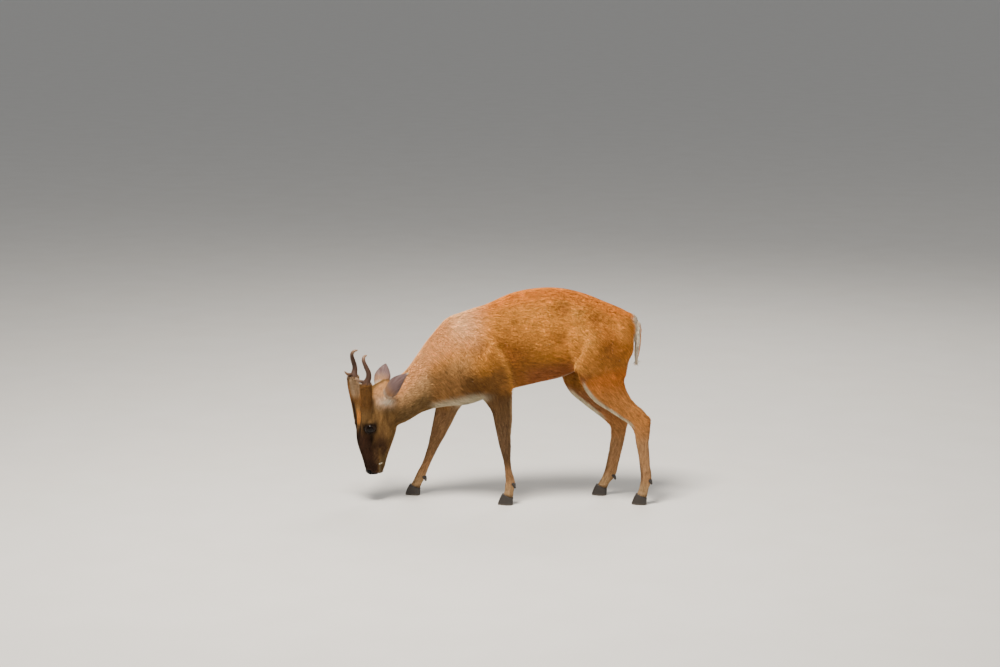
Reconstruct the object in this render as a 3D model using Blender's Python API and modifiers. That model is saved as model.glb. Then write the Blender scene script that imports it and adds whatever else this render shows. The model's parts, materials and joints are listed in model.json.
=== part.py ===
"""A life-size muntjac buck, standing with its head down to feed.

Metres, +Z up. The nose points along -X and the animal's left side is -Y. The floor is z = 0. The flesh
is fused from lofted masses, thinned, and parted with thin cuts into its named nodes.
"""

import math

import bmesh
import bpy
import numpy as np
from mathutils import Matrix, Vector

# Driving dimensions
GAP = 0.0003  # kept between nodes that touch
SHOULDER_HEIGHT = 0.536
EAR_LENGTH = 0.104
EYE_RADIUS = 0.0135
LID = 0.0021  # thickness of the eyelids
EYE_OPENING = (0.0120, 0.0100)  # half length and half height
PEDICEL_TOP = -0.132  # along the head, from the eyes
ANTLER_SEAT = (0.040, 0.042)  # dorsal, and to the side
BEAM_RADIUS = 0.0074
GLAND = (0.0315, 0.027, 0.0350)  # the slit before the eye, in the head's frame
GLAND_SIZE = (0.0120, 0.0028, 0.0080)
NOSTRIL = (0.1355, 0.018, 0.0145)
NOSTRIL_SIZE = (0.0062, 0.0028, 0.0085)
MOUTH = (0.0830, 0.0545, 0.0185)  # where its corners begin along the head, its length and half width
MOUTH_OPENING = 0.0024
HOOF_TOP = 0.025
HOOF_WIDTH = 0.0128
HOOF_TOP_WIDTH = 0.0122
HOOF_TOP_REACH = 0.0140
HOOF_TAPER = 0.62  # how much narrower the toe is than the heel
HOOF_LEVELS = ((0.0, 0.96), (0.10, 1.0), (0.55, 1.0), (1.0, 1.0))  # share of the height, spread
SOLE = (0.030, 0.013)  # ahead of and behind the middle of the hoof's top
CLEFT = 0.0022

# How finely the flesh is fused, and how many triangles its parts keep
BODY_VOXEL = 0.004
HEAD_VOXEL = 0.0016
BODY_TRIANGLES = 5000
HEAD_TRIANGLES = 3900

LEFT, RIGHT = -1, 1
SIDES = {"left": LEFT, "right": RIGHT}
TO_LEFT = np.array([0.0, -1.0, 0.0])

# The head's own frame has its origin between the eyes: along runs down to the nose, dorsal out of the
# forehead, and lateral to the animal's left. The head hangs down and is turned to the animal's left.
HEAD_YAW = math.radians(28)
HEAD_ROLL = math.radians(4)
HEAD_PITCH = math.radians(3)
HEAD_ORIGIN = np.array([-0.345, -0.030, 0.219])
HEAD_TURN = (
    Matrix.Rotation(HEAD_YAW, 3, "Z")
    @ Matrix.Rotation(HEAD_ROLL, 3, "X")
    @ Matrix.Rotation(-HEAD_PITCH, 3, "Y")
)
ALONG = np.array(HEAD_TURN @ Vector((0, 0, -1)))
DORSAL = np.array(HEAD_TURN @ Vector((-1, 0, 0)))
LATERAL = np.array(HEAD_TURN @ Vector((0, -1, 0)))
HEAD_AXES = (ALONG, DORSAL, LATERAL)

# Coat and horn colours of the solids
RUFOUS = (0.60, 0.26, 0.07)
FAWN = (0.46, 0.26, 0.12)
OLIVE = (0.27, 0.16, 0.08)
SHANK = (0.33, 0.21, 0.11)
CREAM = (0.66, 0.50, 0.34)
EAR_BROWN = (0.20, 0.13, 0.11)
HORN = (0.28, 0.17, 0.09)
HOOF = (0.045, 0.040, 0.035)
EYE = (0.012, 0.008, 0.006)
IVORY = (0.75, 0.70, 0.58)


def clear_scene():
    for thing in list(bpy.data.objects):
        bpy.data.objects.remove(thing)


def material(name, colour, roughness=0.7):
    made = bpy.data.materials.get(name) or bpy.data.materials.new(name)
    made.use_nodes = True
    shader = made.node_tree.nodes["Principled BSDF"]
    shader.inputs["Base Color"].default_value = (*colour, 1)
    shader.inputs["Roughness"].default_value = roughness
    return made


def head_point(along, dorsal, lateral):
    """A place in the head's own frame, in the row frame."""
    return HEAD_ORIGIN + along * ALONG + dorsal * DORSAL + lateral * LATERAL


def unit(vector):
    vector = np.array(vector, float)
    return vector / np.linalg.norm(vector)


# Meshes


def object_of(mesh_data, name):
    made = bpy.data.objects.new(name, mesh_data)
    bpy.context.scene.collection.objects.link(made)
    return made


def object_from(bm, name):
    bm.normal_update()
    bmesh.ops.recalc_face_normals(bm, faces=bm.faces)
    if bm.calc_volume(signed=True) < 0:
        bmesh.ops.reverse_faces(bm, faces=bm.faces)
    mesh_data = bpy.data.meshes.new(name)
    bm.to_mesh(mesh_data)
    bm.free()
    return object_of(mesh_data, name)


def bake(thing):
    """Makes the object's modifiers part of its mesh."""
    graph = bpy.context.evaluated_depsgraph_get()
    mesh_data = bpy.data.meshes.new_from_object(thing.evaluated_get(graph))
    thing.modifiers.clear()
    thing.data = mesh_data
    return thing


def joined(things, name):
    """One object that holds the meshes of several, still as separate surfaces."""
    bm = bmesh.new()
    for thing in things:
        bm.from_mesh(thing.data)
        bpy.data.objects.remove(thing)
    mesh_data = bpy.data.meshes.new(name)
    bm.to_mesh(mesh_data)
    bm.free()
    return object_of(mesh_data, name)


def copy_of(thing, name="copy"):
    return object_of(thing.data.copy(), name)


def points_of(thing):
    found = np.empty(len(thing.data.vertices) * 3)
    thing.data.vertices.foreach_get("co", found)
    return found.reshape(-1, 3)


def surfaces_of(bm):
    """The faces of each closed surface of the mesh."""
    seen = set()
    surfaces = []
    for start in bm.faces:
        if start in seen:
            continue
        seen.add(start)
        waiting, surface = [start], []
        while waiting:
            face = waiting.pop()
            surface.append(face)
            for edge in face.edges:
                for other in edge.link_faces:
                    if other not in seen:
                        seen.add(other)
                        waiting.append(other)
        surfaces.append(surface)
    return surfaces


def only_surface(thing, near=None):
    """Keeps one closed surface of the object: the nearest to a place, or else the biggest."""
    bm = bmesh.new()
    bm.from_mesh(thing.data)

    def order(surface):
        if near is None:
            return -sum(face.calc_area() for face in surface)
        corners = np.array([vertex.co for face in surface for vertex in face.verts])
        if len(surface) < 30:
            return 1e3
        return np.linalg.norm((corners.min(axis=0) + corners.max(axis=0)) / 2 - near)

    keep = set(min(surfaces_of(bm), key=order))
    bmesh.ops.delete(bm, geom=[face for face in bm.faces if face not in keep], context="FACES")
    bm.to_mesh(thing.data)
    bm.free()
    return thing


def triangulated(thing):
    bm = bmesh.new()
    bm.from_mesh(thing.data)
    bmesh.ops.triangulate(bm, faces=bm.faces)
    bm.to_mesh(thing.data)
    bm.free()
    return thing


def boolean(thing, other, operation="DIFFERENCE"):
    cut = thing.modifiers.new("cut", "BOOLEAN")
    cut.operation = operation
    cut.solver = "MANIFOLD"
    cut.object = other
    bake(thing)
    bpy.data.objects.remove(other)
    return triangulated(thing)


def thinned(thing, triangles):
    """The surface with about that many triangles."""
    count = sum(len(face.vertices) - 2 for face in thing.data.polygons)
    if count > triangles:
        thin = thing.modifiers.new("thin", "DECIMATE")
        thin.ratio = triangles / count
        thin.use_collapse_triangulate = True
        bake(thing)
    return thing


# Lofts


def smooth_rows(keys, steps):
    """Rows on smooth curves through the keys, whose first three columns are a place."""
    keys = np.array(keys, float)
    gaps = np.linalg.norm(np.diff(keys[:, :3], axis=0), axis=1)
    reach = np.concatenate([[0.0], np.cumsum(gaps)])
    slopes = np.gradient(keys, reach, axis=0)
    rows = []
    for i, gap in enumerate(gaps):
        for t in np.linspace(0, 1, steps, endpoint=False):
            rows.append(
                (2 * t**3 - 3 * t**2 + 1) * keys[i]
                + (t**3 - 2 * t**2 + t) * gap * slopes[i]
                + (3 * t**2 - 2 * t**3) * keys[i + 1]
                + (t**3 - t**2) * gap * slopes[i + 1]
            )
    rows.append(keys[-1])
    return np.array(rows)


def with_domes(rows, ends, turns):
    """Rows with a rounded end of the given lengths added before and after them. Zero leaves an end flat."""
    before, after = [], []
    for out, row, beside, length in (
        (before, rows[0], rows[1], ends[0]),
        (after, rows[-1], rows[-2], ends[1]),
    ):
        if not length:
            continue
        away = unit(row[:3] - beside[:3])
        for turn in range(1, turns + 1):
            angle = turn / turns * math.radians(84)
            new = row.copy()
            new[:3] += away * length * math.sin(angle)
            new[3:6] *= math.cos(angle)
            out.append(new)
    return np.array([*before[::-1], *rows, *after])


def loft(keys, across=TO_LEFT, steps=4, ring=24, domes=(0.0, 0.0), square=2.0, turns=4):
    """A closed solid through sections. A key is x, y, z, reach to the front, reach to the back, and half
    width. The front is at right angles to the path and to across."""
    rows = with_domes(smooth_rows(keys, steps), domes, turns)
    tangents = np.gradient(rows[:, :3], axis=0)
    tangents /= np.linalg.norm(tangents, axis=1)[:, None]
    bm = bmesh.new()
    rings = []
    for row, tangent in zip(rows, tangents):
        side = unit(across - np.dot(across, tangent) * tangent)
        front = np.cross(tangent, side)
        corners = []
        for k in range(ring):
            c, s = math.cos(2 * math.pi * k / ring), math.sin(2 * math.pi * k / ring)
            wide = math.copysign(abs(c) ** (2 / square), c) * row[5]
            tall = math.copysign(abs(s) ** (2 / square), s) * (row[3] if s > 0 else row[4])
            corners.append(bm.verts.new(row[:3] + side * wide + front * tall))
        rings.append(corners)
    for one, two in zip(rings, rings[1:]):
        for k in range(ring):
            bm.faces.new((one[k], one[(k + 1) % ring], two[(k + 1) % ring], two[k]))
    bm.faces.new(rings[0])
    bm.faces.new(rings[-1])
    return object_from(bm, "loft")


def span_loft(rows, steps=4, ring=32, domes=(0.0, 0.0), square=2.0):
    """A closed solid through sections that each run from a point below to a point above, and across. A row
    is the x and z above, the x and z below, y, half width and how far up the span it is widest."""
    keys = []
    for top_x, top_z, low_x, low_z, y, half, widest in rows:
        centre = np.array([low_x + (top_x - low_x) * widest, y, low_z + (top_z - low_z) * widest])
        span = np.array([top_x - low_x, 0.0, top_z - low_z])
        keys.append((*centre, (1 - widest), widest, half, *span))
    keys = with_domes(smooth_rows(keys, steps), domes, 4)
    bm = bmesh.new()
    rings = []
    for row in keys:
        corners = []
        for k in range(ring):
            c, s = math.cos(2 * math.pi * k / ring), math.sin(2 * math.pi * k / ring)
            wide = math.copysign(abs(c) ** (2 / square), c) * row[5]
            tall = math.copysign(abs(s) ** (2 / square), s) * (row[3] if s > 0 else row[4])
            corners.append(bm.verts.new(row[:3] + TO_LEFT * wide + row[6:9] * tall))
        rings.append(corners)
    for one, two in zip(rings, rings[1:]):
        for k in range(ring):
            bm.faces.new((one[k], one[(k + 1) % ring], two[(k + 1) % ring], two[k]))
    bm.faces.new(rings[0])
    bm.faces.new(rings[-1])
    return object_from(bm, "loft")


def round_loft(keys, across=TO_LEFT, steps=3, ring=12, domes=(0.0, 0.0), turns=4):
    """A closed solid of round sections. A key is x, y, z and radius."""
    return loft([(*key, key[3], key[3]) for key in keys], across, steps, ring, domes, 2.0, turns)


def ball(centre, reaches, axes=None, segments=24):
    """An ellipsoid with its three half axes along the given directions."""
    bm = bmesh.new()
    bmesh.ops.create_uvsphere(bm, u_segments=segments, v_segments=segments // 2, radius=1)
    frame = np.eye(3) if axes is None else np.array(axes)
    for vertex in bm.verts:
        vertex.co = Vector(centre + (np.array(vertex.co) * reaches) @ frame)
    return object_from(bm, "ball")


def head_keys(rows):
    """Loft keys from rows of along, dorsal, lateral, and the sizes of the section."""
    return [(*head_point(*row[:3]), *row[3:]) for row in rows]


def box(centre, size, up, forward=(-1.0, 0.0, 0.0)):
    """A box with its length along forward, its width, and its depth down from a top face's centre."""
    up = unit(up)
    ahead = np.array(forward) - np.dot(forward, up) * up
    ahead = unit(ahead)
    wide = np.cross(up, ahead)
    bm = bmesh.new()
    bmesh.ops.create_cube(bm, size=1)
    for vertex in bm.verts:
        x, y, z = vertex.co
        vertex.co = Vector(centre + ahead * x * size[0] + wide * y * size[1] + up * (z - 0.5) * size[2])
    return object_from(bm, "cutter")


# Masses of the flesh


TRUNK = [  # above: x, z; below: x, z; y, half width, how far up it is widest
    (0.362, 0.526, 0.351, 0.430, 0, 0.040, 0.52),
    (0.335, 0.5395, 0.335, 0.405, 0, 0.064, 0.50),
    (0.290, 0.5585, 0.290, 0.392, 0, 0.080, 0.48),
    (0.230, 0.5825, 0.230, 0.375, 0, 0.082, 0.47),
    (0.170, 0.5965, 0.170, 0.350, 0, 0.090, 0.46),
    (0.100, 0.5970, 0.100, 0.3335, 0, 0.096, 0.45),
    (0.030, 0.5825, 0.030, 0.315, 0, 0.092, 0.45),
    (-0.040, 0.5520, -0.045, 0.287, 0, 0.084, 0.46),
    (-0.100, SHOULDER_HEIGHT - 0.004, -0.095, 0.271, 0, 0.074, 0.46),
]
NECK = [
    (-0.150, 0.5110, -0.135, 0.2680, 0.000, 0.061, 0.47),
    (-0.181, 0.4770, -0.165, 0.2635, -0.001, 0.0545, 0.48),
    (-0.206, 0.4460, -0.1925, 0.2580, -0.004, 0.050, 0.49),
    (-0.232, 0.4080, -0.2185, 0.2490, -0.008, 0.0465, 0.50),
    (-0.263, 0.3680, -0.2500, 0.2310, -0.014, 0.0430, 0.50),
    (-0.288, 0.3470, -0.2750, 0.2190, -0.019, 0.0410, 0.50),
    (-0.308, 0.3290, -0.2950, 0.2140, -0.024, 0.0390, 0.50),
]


def torso_masses():
    """The trunk and the neck, from the rump to the nape."""
    return [span_loft(TRUNK + NECK, domes=(0.020, 0.020), square=2.1)]


def neck_masses():
    return [span_loft(NECK[1:], domes=(0.0, 0.020), square=2.1)]


def fore_keys(side):
    """Shoulder to hoof. The left leg carries the weight and the right one reaches forward."""
    y = 0.056 * side
    if side == LEFT:
        return [
            (-0.066, y * 0.62, 0.480, 0.048, 0.050, 0.026),
            (-0.060, y * 0.84, 0.425, 0.058, 0.064, 0.031),
            (-0.040, y * 1.00, 0.365, 0.058, 0.066, 0.031),
            (-0.009, y * 1.05, 0.312, 0.041, 0.045, 0.026),
            (0.004, y * 1.05, 0.272, 0.0295, 0.0305, 0.0210),
            (0.0068, y, 0.235, 0.0235, 0.0270, 0.0180),
            (0.0095, y, 0.190, 0.0170, 0.0210, 0.0145),
            (0.0140, y, 0.158, 0.0140, 0.0172, 0.0135),
            (0.0180, y, 0.130, 0.0100, 0.0120, 0.0105),
            (0.0230, y, 0.094, 0.0098, 0.0105, 0.0098),
            (0.0275, y, 0.065, 0.0125, 0.0138, 0.0125),
            (0.0255, y, 0.042, 0.0125, 0.0125, 0.0120),
            (0.0210, y, 0.015, 0.0145, 0.0140, 0.0135),
        ]
    return [
        (-0.072, y * 0.62, 0.480, 0.048, 0.050, 0.026),
        (-0.082, y * 0.84, 0.425, 0.058, 0.060, 0.031),
        (-0.100, y * 1.00, 0.365, 0.060, 0.060, 0.031),
        (-0.124, y * 1.05, 0.306, 0.042, 0.046, 0.027),
        (-0.146, y * 1.02, 0.255, 0.0330, 0.0330, 0.0220),
        (-0.160, y, 0.214, 0.0270, 0.0270, 0.0185),
        (-0.1755, y, 0.170, 0.0205, 0.0200, 0.0150),
        (-0.1880, y, 0.138, 0.0150, 0.0150, 0.0135),
        (-0.2000, y, 0.108, 0.0120, 0.0125, 0.0108),
        (-0.2115, y, 0.080, 0.0115, 0.0120, 0.0100),
        (-0.2220, y, 0.058, 0.0125, 0.0138, 0.0125),
        (-0.2300, y, 0.040, 0.0125, 0.0125, 0.0120),
        (-0.2420, y, 0.015, 0.0140, 0.0140, 0.0135),
    ]


def hind_keys(side):
    """Hip to hoof. The left leg trails and the right one is under the belly."""
    y = 0.053 * side
    if side == LEFT:
        return [
            (0.285, y * 0.90, 0.500, 0.070, 0.068, 0.030),
            (0.282, y * 1.05, 0.440, 0.076, 0.074, 0.038),
            (0.278, y * 1.10, 0.385, 0.070, 0.072, 0.038),
            (0.292, y * 1.08, 0.336, 0.057, 0.060, 0.031),
            (0.323, y * 1.02, 0.300, 0.045, 0.034, 0.0230),
            (0.351, y, 0.272, 0.0370, 0.0240, 0.0175),
            (0.377, y, 0.244, 0.0300, 0.0275, 0.0145),
            (0.390, y, 0.216, 0.0255, 0.0235, 0.0140),
            (0.3930, y, 0.180, 0.0205, 0.0175, 0.0125),
            (0.3975, y, 0.140, 0.0170, 0.0150, 0.0110),
            (0.4010, y, 0.105, 0.0158, 0.0145, 0.0110),
            (0.4030, y, 0.075, 0.0145, 0.0160, 0.0130),
            (0.3980, y, 0.048, 0.0130, 0.0135, 0.0125),
            (0.3900, y, 0.015, 0.0150, 0.0145, 0.0138),
        ]
    return [
        (0.265, y * 0.90, 0.500, 0.066, 0.072, 0.030),
        (0.245, y * 1.05, 0.440, 0.070, 0.078, 0.038),
        (0.227, y * 1.10, 0.385, 0.064, 0.074, 0.038),
        (0.234, y * 1.06, 0.328, 0.053, 0.056, 0.031),
        (0.258, y, 0.292, 0.041, 0.038, 0.0240),
        (0.284, y, 0.263, 0.0340, 0.0270, 0.0180),
        (0.308, y, 0.237, 0.0285, 0.0240, 0.0145),
        (0.3280, y, 0.208, 0.0240, 0.0260, 0.0140),
        (0.3280, y, 0.176, 0.0190, 0.0235, 0.0125),
        (0.3220, y, 0.138, 0.0160, 0.0220, 0.0112),
        (0.3140, y, 0.098, 0.0148, 0.0205, 0.0110),
        (0.3060, y, 0.063, 0.0145, 0.0190, 0.0130),
        (0.2960, y, 0.042, 0.0130, 0.0135, 0.0125),
        (0.2820, y, 0.015, 0.0145, 0.0145, 0.0138),
    ]


LEG_KEYS = {"fore": fore_keys, "hind": hind_keys}


def leg_masses():
    return [loft(keys(side), ring=20, square=2.35) for keys in LEG_KEYS.values() for side in SIDES.values()]


def shape_masses():
    """Muscle and bone that shows through the coat: shoulder blades, hips, buttocks and hocks."""
    masses = []
    for side in SIDES.values():
        masses.append(ball((-0.084, 0.036 * side, 0.450), (0.044, 0.030, 0.064)))
        masses.append(ball((0.250, 0.040 * side, 0.508), (0.062, 0.034, 0.040)))
        masses.append(ball((0.332, 0.038 * side, 0.446), (0.036, 0.030, 0.050)))
    for side, (x, z) in {LEFT: (0.4035, 0.235), RIGHT: (0.3460, 0.212)}.items():
        masses.append(ball((x, 0.053 * side, z), (0.0125, 0.0095, 0.020)))
    return masses


def skull_masses():
    """The head in its own frame: skull, jaw, cheeks, brows, lids, lips, pedicels and roots of the ears."""
    skull = [  # along, dorsal, lateral, dorsal reach, ventral reach, half width
        (-0.100, -0.045, 0, 0.030, 0.030, 0.030),
        (-0.075, -0.022, 0, 0.045, 0.036, 0.0370),
        (-0.040, 0.002, 0, 0.043, 0.040, 0.0400),
        (0.000, 0.010, 0, 0.0420, 0.040, 0.0395),
        (0.040, 0.012, 0, 0.0405, 0.034, 0.0325),
        (0.078, 0.010, 0, 0.0322, 0.027, 0.0252),
        (0.108, 0.009, 0, 0.0252, 0.020, 0.0218),
        (0.1300, 0.008, 0, 0.0222, 0.015, 0.0204),
    ]
    jaw = [
        (-0.032, -0.036, 0, 0.020, 0.0260, 0.0270),
        (-0.008, -0.036, 0, 0.022, 0.0295, 0.0290),
        (0.018, -0.032, 0, 0.020, 0.0290, 0.0290),
        (0.040, -0.026, 0, 0.019, 0.0270, 0.0290),
        (0.061, -0.020, 0, 0.018, 0.0245, 0.0262),
        (0.098, -0.0125, 0, 0.0145, 0.0185, 0.0185),
        (0.120, -0.0090, 0, 0.0110, 0.0155, 0.0158),
        (0.1335, -0.0065, 0, 0.0080, 0.0120, 0.0135),
    ]
    masses = [
        loft(head_keys(skull), across=LATERAL, ring=32, domes=(0.020, 0.0105), square=2.2),
        loft(head_keys(jaw), across=LATERAL, ring=24, domes=(0.015, 0.006)),
    ]
    masses.append(ball(head_point(-0.045, 0.030, 0), (0.056, 0.014, 0.030), HEAD_AXES))
    for name, side in SIDES.items():
        s = -side
        masses.append(ball(head_point(-0.012, 0.029, 0.0275 * s), (0.030, 0.017, 0.0175), HEAD_AXES))
        masses.append(ball(head_point(0.008, -0.010, 0.0262 * s), (0.052, 0.030, 0.0112), HEAD_AXES))
        masses.append(ball(head_point(-0.030, -0.034, 0.0215 * s), (0.046, 0.034, 0.0175), HEAD_AXES))
        masses.append(ball(head_point(0.030, 0.026, 0.0245 * s), (0.026, 0.013, 0.0095), HEAD_AXES))
        masses.append(ball(head_point(0.1275, 0.014, 0.0100 * s), (0.0120, 0.0115, 0.0108), HEAD_AXES))
        masses.append(ball(eye_centre(side), [EYE_RADIUS + LID] * 3))
        pedicel = [
            (0.014, 0.0395, 0.014 * s, 0.0080, 0.0100, 0.0090),
            (-0.020, 0.0370, 0.022 * s, 0.0105, 0.0150, 0.0135),
            (-0.055, 0.0370, 0.029 * s, 0.0135, 0.0170, 0.0155),
            (-0.090, 0.0400, 0.036 * s, 0.0155, 0.0180, 0.0160),
            (-0.116, 0.0420, 0.0405 * s, 0.0170, 0.0185, 0.0165),
            (PEDICEL_TOP - 0.010, 0.0425, 0.0420 * s, 0.0180, 0.0185, 0.0168),
        ]
        masses.append(loft(head_keys(pedicel), across=LATERAL, ring=18, domes=(0.010, 0)))
        ear = EARS[name]
        keys = [
            (*(ear["root"] - ear["out"] * 0.036), 0.0275),
            (*(ear["root"] - ear["out"] * 0.016), 0.0225),
            (*(ear["root"] + ear["out"] * 0.004), 0.0156),
        ]
        masses.append(round_loft(keys, across=ear["wide"], ring=20))
    return masses


def ear_setting(root, way, opening):
    """Where an ear is set on, the way it points, the way its cup opens and the way it is wide."""
    root = head_point(*root)
    out = unit(way)
    opens = unit(opening - np.dot(opening, out) * out)
    return {"root": root, "out": out, "opens": opens, "wide": np.cross(out, opens)}


EARS = {
    "left": ear_setting((-0.097, -0.022, 0.042), (0.53, -0.535, 0.658), np.array([0.66, 0.58, -0.10])),
    "right": ear_setting((-0.092, -0.038, -0.043), (0.115, 0.872, 0.476), np.array([-0.12, 0.61, -0.78])),
}


def eye_centre(side):
    return head_point(-0.005, 0.030, -side * 0.0325)


def fused(masses, voxel, smoothing):
    """One skin over all the masses."""
    flesh = joined(masses, "flesh")
    remesh = flesh.modifiers.new("fuse", "REMESH")
    remesh.mode = "VOXEL"
    remesh.voxel_size = voxel
    smooth = flesh.modifiers.new("smooth", "SMOOTH")
    smooth.factor = 0.5
    smooth.iterations = smoothing
    return only_surface(bake(flesh))


# Cuts: a place on the cut, the way out of the part below it, and the cut's length and width.
HEAD_CUT = ((-0.2925, -0.02, 0.278), (0.985, 0.10, 0.12), 0.20, 0.16)
NECK_CUT = ((-0.1975, 0.0, 0.3535), (0.997, 0.0, 0.077), 0.26, 0.20)
LEG_CUT_SIZE = (0.18, 0.128)
SHANK_CUT_SIZE = (0.08, 0.06)
HOOF_CUT_SIZE = (0.07, 0.06)
LEG_CUTS = {
    ("fore", LEFT): ((-0.004, -0.056, 0.300), (-0.30, 0.75, 1.0)),
    ("fore", RIGHT): ((-0.133, 0.056, 0.272), (-0.10, -0.75, 1.0)),
    ("hind", LEFT): ((0.288, -0.058, 0.357), (-0.36, 0.75, 1.0)),
    ("hind", RIGHT): ((0.236, 0.056, 0.333), (-0.33, -0.75, 1.0)),
}
SHANK_CUTS = {
    ("fore", LEFT): ((0.0160, -0.056, 0.146), (-0.12, 0.0, 1.0)),
    ("fore", RIGHT): ((-0.1930, 0.056, 0.126), (0.38, 0.0, 1.0)),
    ("hind", LEFT): ((0.3925, -0.053, 0.186), (-0.10, 0.0, 1.0)),
    ("hind", RIGHT): ((0.3275, 0.053, 0.172), (0.16, 0.0, 1.0)),
}
HOOF_CENTRES = {
    ("fore", LEFT): (0.0225, -0.056),
    ("fore", RIGHT): (-0.2375, 0.056),
    ("hind", LEFT): (0.3925, -0.053),
    ("hind", RIGHT): (0.2865, 0.053),
}
HOOF_TILT = (0.42, 0.0, 1.0)


def part_at(bm, centre, normal, length, width):
    """Cuts through the limb that crosses a bounded plane, closes both ends and leaves a gap between them."""
    centre, up = np.array(centre), unit(normal)
    ahead = np.array([0.0, 0.0, -1.0]) if abs(up[0]) > 0.7 else np.array([-1.0, 0.0, 0.0])
    ahead = unit(ahead - np.dot(ahead, up) * up)
    wide = np.cross(up, ahead)
    geom = set()
    for face in bm.faces:
        offset = np.array(face.calc_center_median()) - centre
        if abs(offset @ ahead) < length / 2 and abs(offset @ wide) < width / 2 and abs(offset @ up) < 0.05:
            geom.update([face, *face.edges, *face.verts])
    cut = bmesh.ops.bisect_plane(bm, geom=list(geom), plane_co=centre, plane_no=up)["geom_cut"]
    bmesh.ops.split_edges(bm, edges=[part for part in cut if isinstance(part, bmesh.types.BMEdge)])
    rims = [edge for edge in bm.edges if edge.is_boundary]
    for edge in rims:
        beyond = edge.link_faces[0].calc_center_median() - Vector(centre)
        edge.tag = beyond.dot(Vector(up)) > 0
    moves = {vertex: (1 if edge.tag else -1) for edge in rims for vertex in edge.verts}
    bmesh.ops.holes_fill(bm, edges=rims, sides=0)
    for vertex, way in moves.items():
        vertex.co += Vector(up) * way * GAP / 2


def nearest_surface(bm, seed, name):
    """The closed surface of the mesh whose bounds are centred nearest to a place, as an object."""

    def distance(surface):
        corners = np.array([vertex.co for face in surface for vertex in face.verts])
        return np.linalg.norm((corners.min(axis=0) + corners.max(axis=0)) / 2 - seed)

    keep = min((surface for surface in surfaces_of(bm) if len(surface) > 40), key=distance)
    found = bmesh.new()
    new = {}
    for face in keep:
        corners = []
        for vertex in face.verts:
            if vertex not in new:
                new[vertex] = found.verts.new(vertex.co)
            corners.append(new[vertex])
        found.faces.new(corners)
    bmesh.ops.triangulate(found, faces=found.faces)
    return object_from(found, name)


def parts_of_body():
    """The torso, neck and legs, parted from one another."""
    masses = torso_masses() + leg_masses() + shape_masses() + skull_masses()
    body = thinned(fused(masses, BODY_VOXEL, 9), BODY_TRIANGLES)
    bm = bmesh.new()
    bm.from_mesh(body.data)
    bpy.data.objects.remove(body)
    part_at(bm, *HEAD_CUT)
    part_at(bm, *NECK_CUT)
    for centre, normal in LEG_CUTS.values():
        part_at(bm, centre, normal, *LEG_CUT_SIZE)
    for centre, normal in SHANK_CUTS.values():
        part_at(bm, centre, normal, *SHANK_CUT_SIZE)
    for x, y in HOOF_CENTRES.values():
        part_at(bm, (x, y, HOOF_TOP), HOOF_TILT, *HOOF_CUT_SIZE)
    seeds = {"torso": (0.09, 0.0, 0.42), "neck": (-0.245, -0.01, 0.335)}
    for (which, side), (centre, _) in LEG_CUTS.items():
        word = "left" if side == LEFT else "right"
        shank = SHANK_CUTS[(which, side)][0]
        hoof = (*HOOF_CENTRES[(which, side)], HOOF_TOP)
        seeds[f"{word}_{which}_leg"] = (np.array(centre) + shank) / 2
        seeds[f"{word}_{which}_shank"] = (np.array(shank) + hoof) / 2
    nodes = {name: nearest_surface(bm, np.array(seed), name) for name, seed in seeds.items()}
    bm.free()
    return nodes


def almond(side):
    """The opening between the lids, as a prism along the way the eye looks."""
    s = -side
    centre = eye_centre(side)
    look = unit(0.10 * ALONG + 0.42 * DORSAL + s * LATERAL)
    length = unit(ALONG - 0.42 * DORSAL)
    length = unit(length - np.dot(length, look) * look)
    height = np.cross(look, length)
    bm = bmesh.new()
    rings = []
    for reach, grow in ((0.004, 0.85), (0.030, 1.25)):
        ring = []
        for k in range(24):
            angle = 2 * math.pi * k / 24
            c, h = math.cos(angle), math.sin(angle)
            x = EYE_OPENING[0] * c * grow
            z = EYE_OPENING[1] * h * abs(math.sin(angle)) ** 0.25 * grow
            ring.append(bm.verts.new(centre + look * reach + length * x + height * z))
        rings.append(ring)
    for k in range(24):
        bm.faces.new((rings[0][k], rings[0][(k + 1) % 24], rings[1][(k + 1) % 24], rings[1][k]))
    bm.faces.new(rings[0])
    bm.faces.new(rings[1])
    return object_from(bm, "almond")


def mouth_cutter():
    """A groove round the front of the muzzle, between the lips."""
    start, long, wide = MOUTH
    half = MOUTH_OPENING / 2
    bm = bmesh.new()
    rings = []
    for angle in np.radians(np.linspace(-78, 78, 27)):
        s, c = math.sin(angle), math.cos(angle)
        place = np.array([start + long * c, -0.0015 + 0.0020 * s * s, wide * s])
        out = unit(np.array([c / long, 0, s / wide]))
        ring = []
        for way, lift in ((-0.0035, -0.0002), (0.008, -half), (0.008, half), (-0.0035, 0.0002)):
            ring.append(bm.verts.new(head_point(*(place + out * way + np.array([0, lift, 0])))))
        rings.append(ring)
    for one, two in zip(rings, rings[1:]):
        for k in range(4):
            bm.faces.new((one[k], one[(k + 1) % 4], two[(k + 1) % 4], two[k]))
    bm.faces.new(rings[0])
    bm.faces.new(rings[-1])
    return object_from(bm, "mouth")


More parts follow.
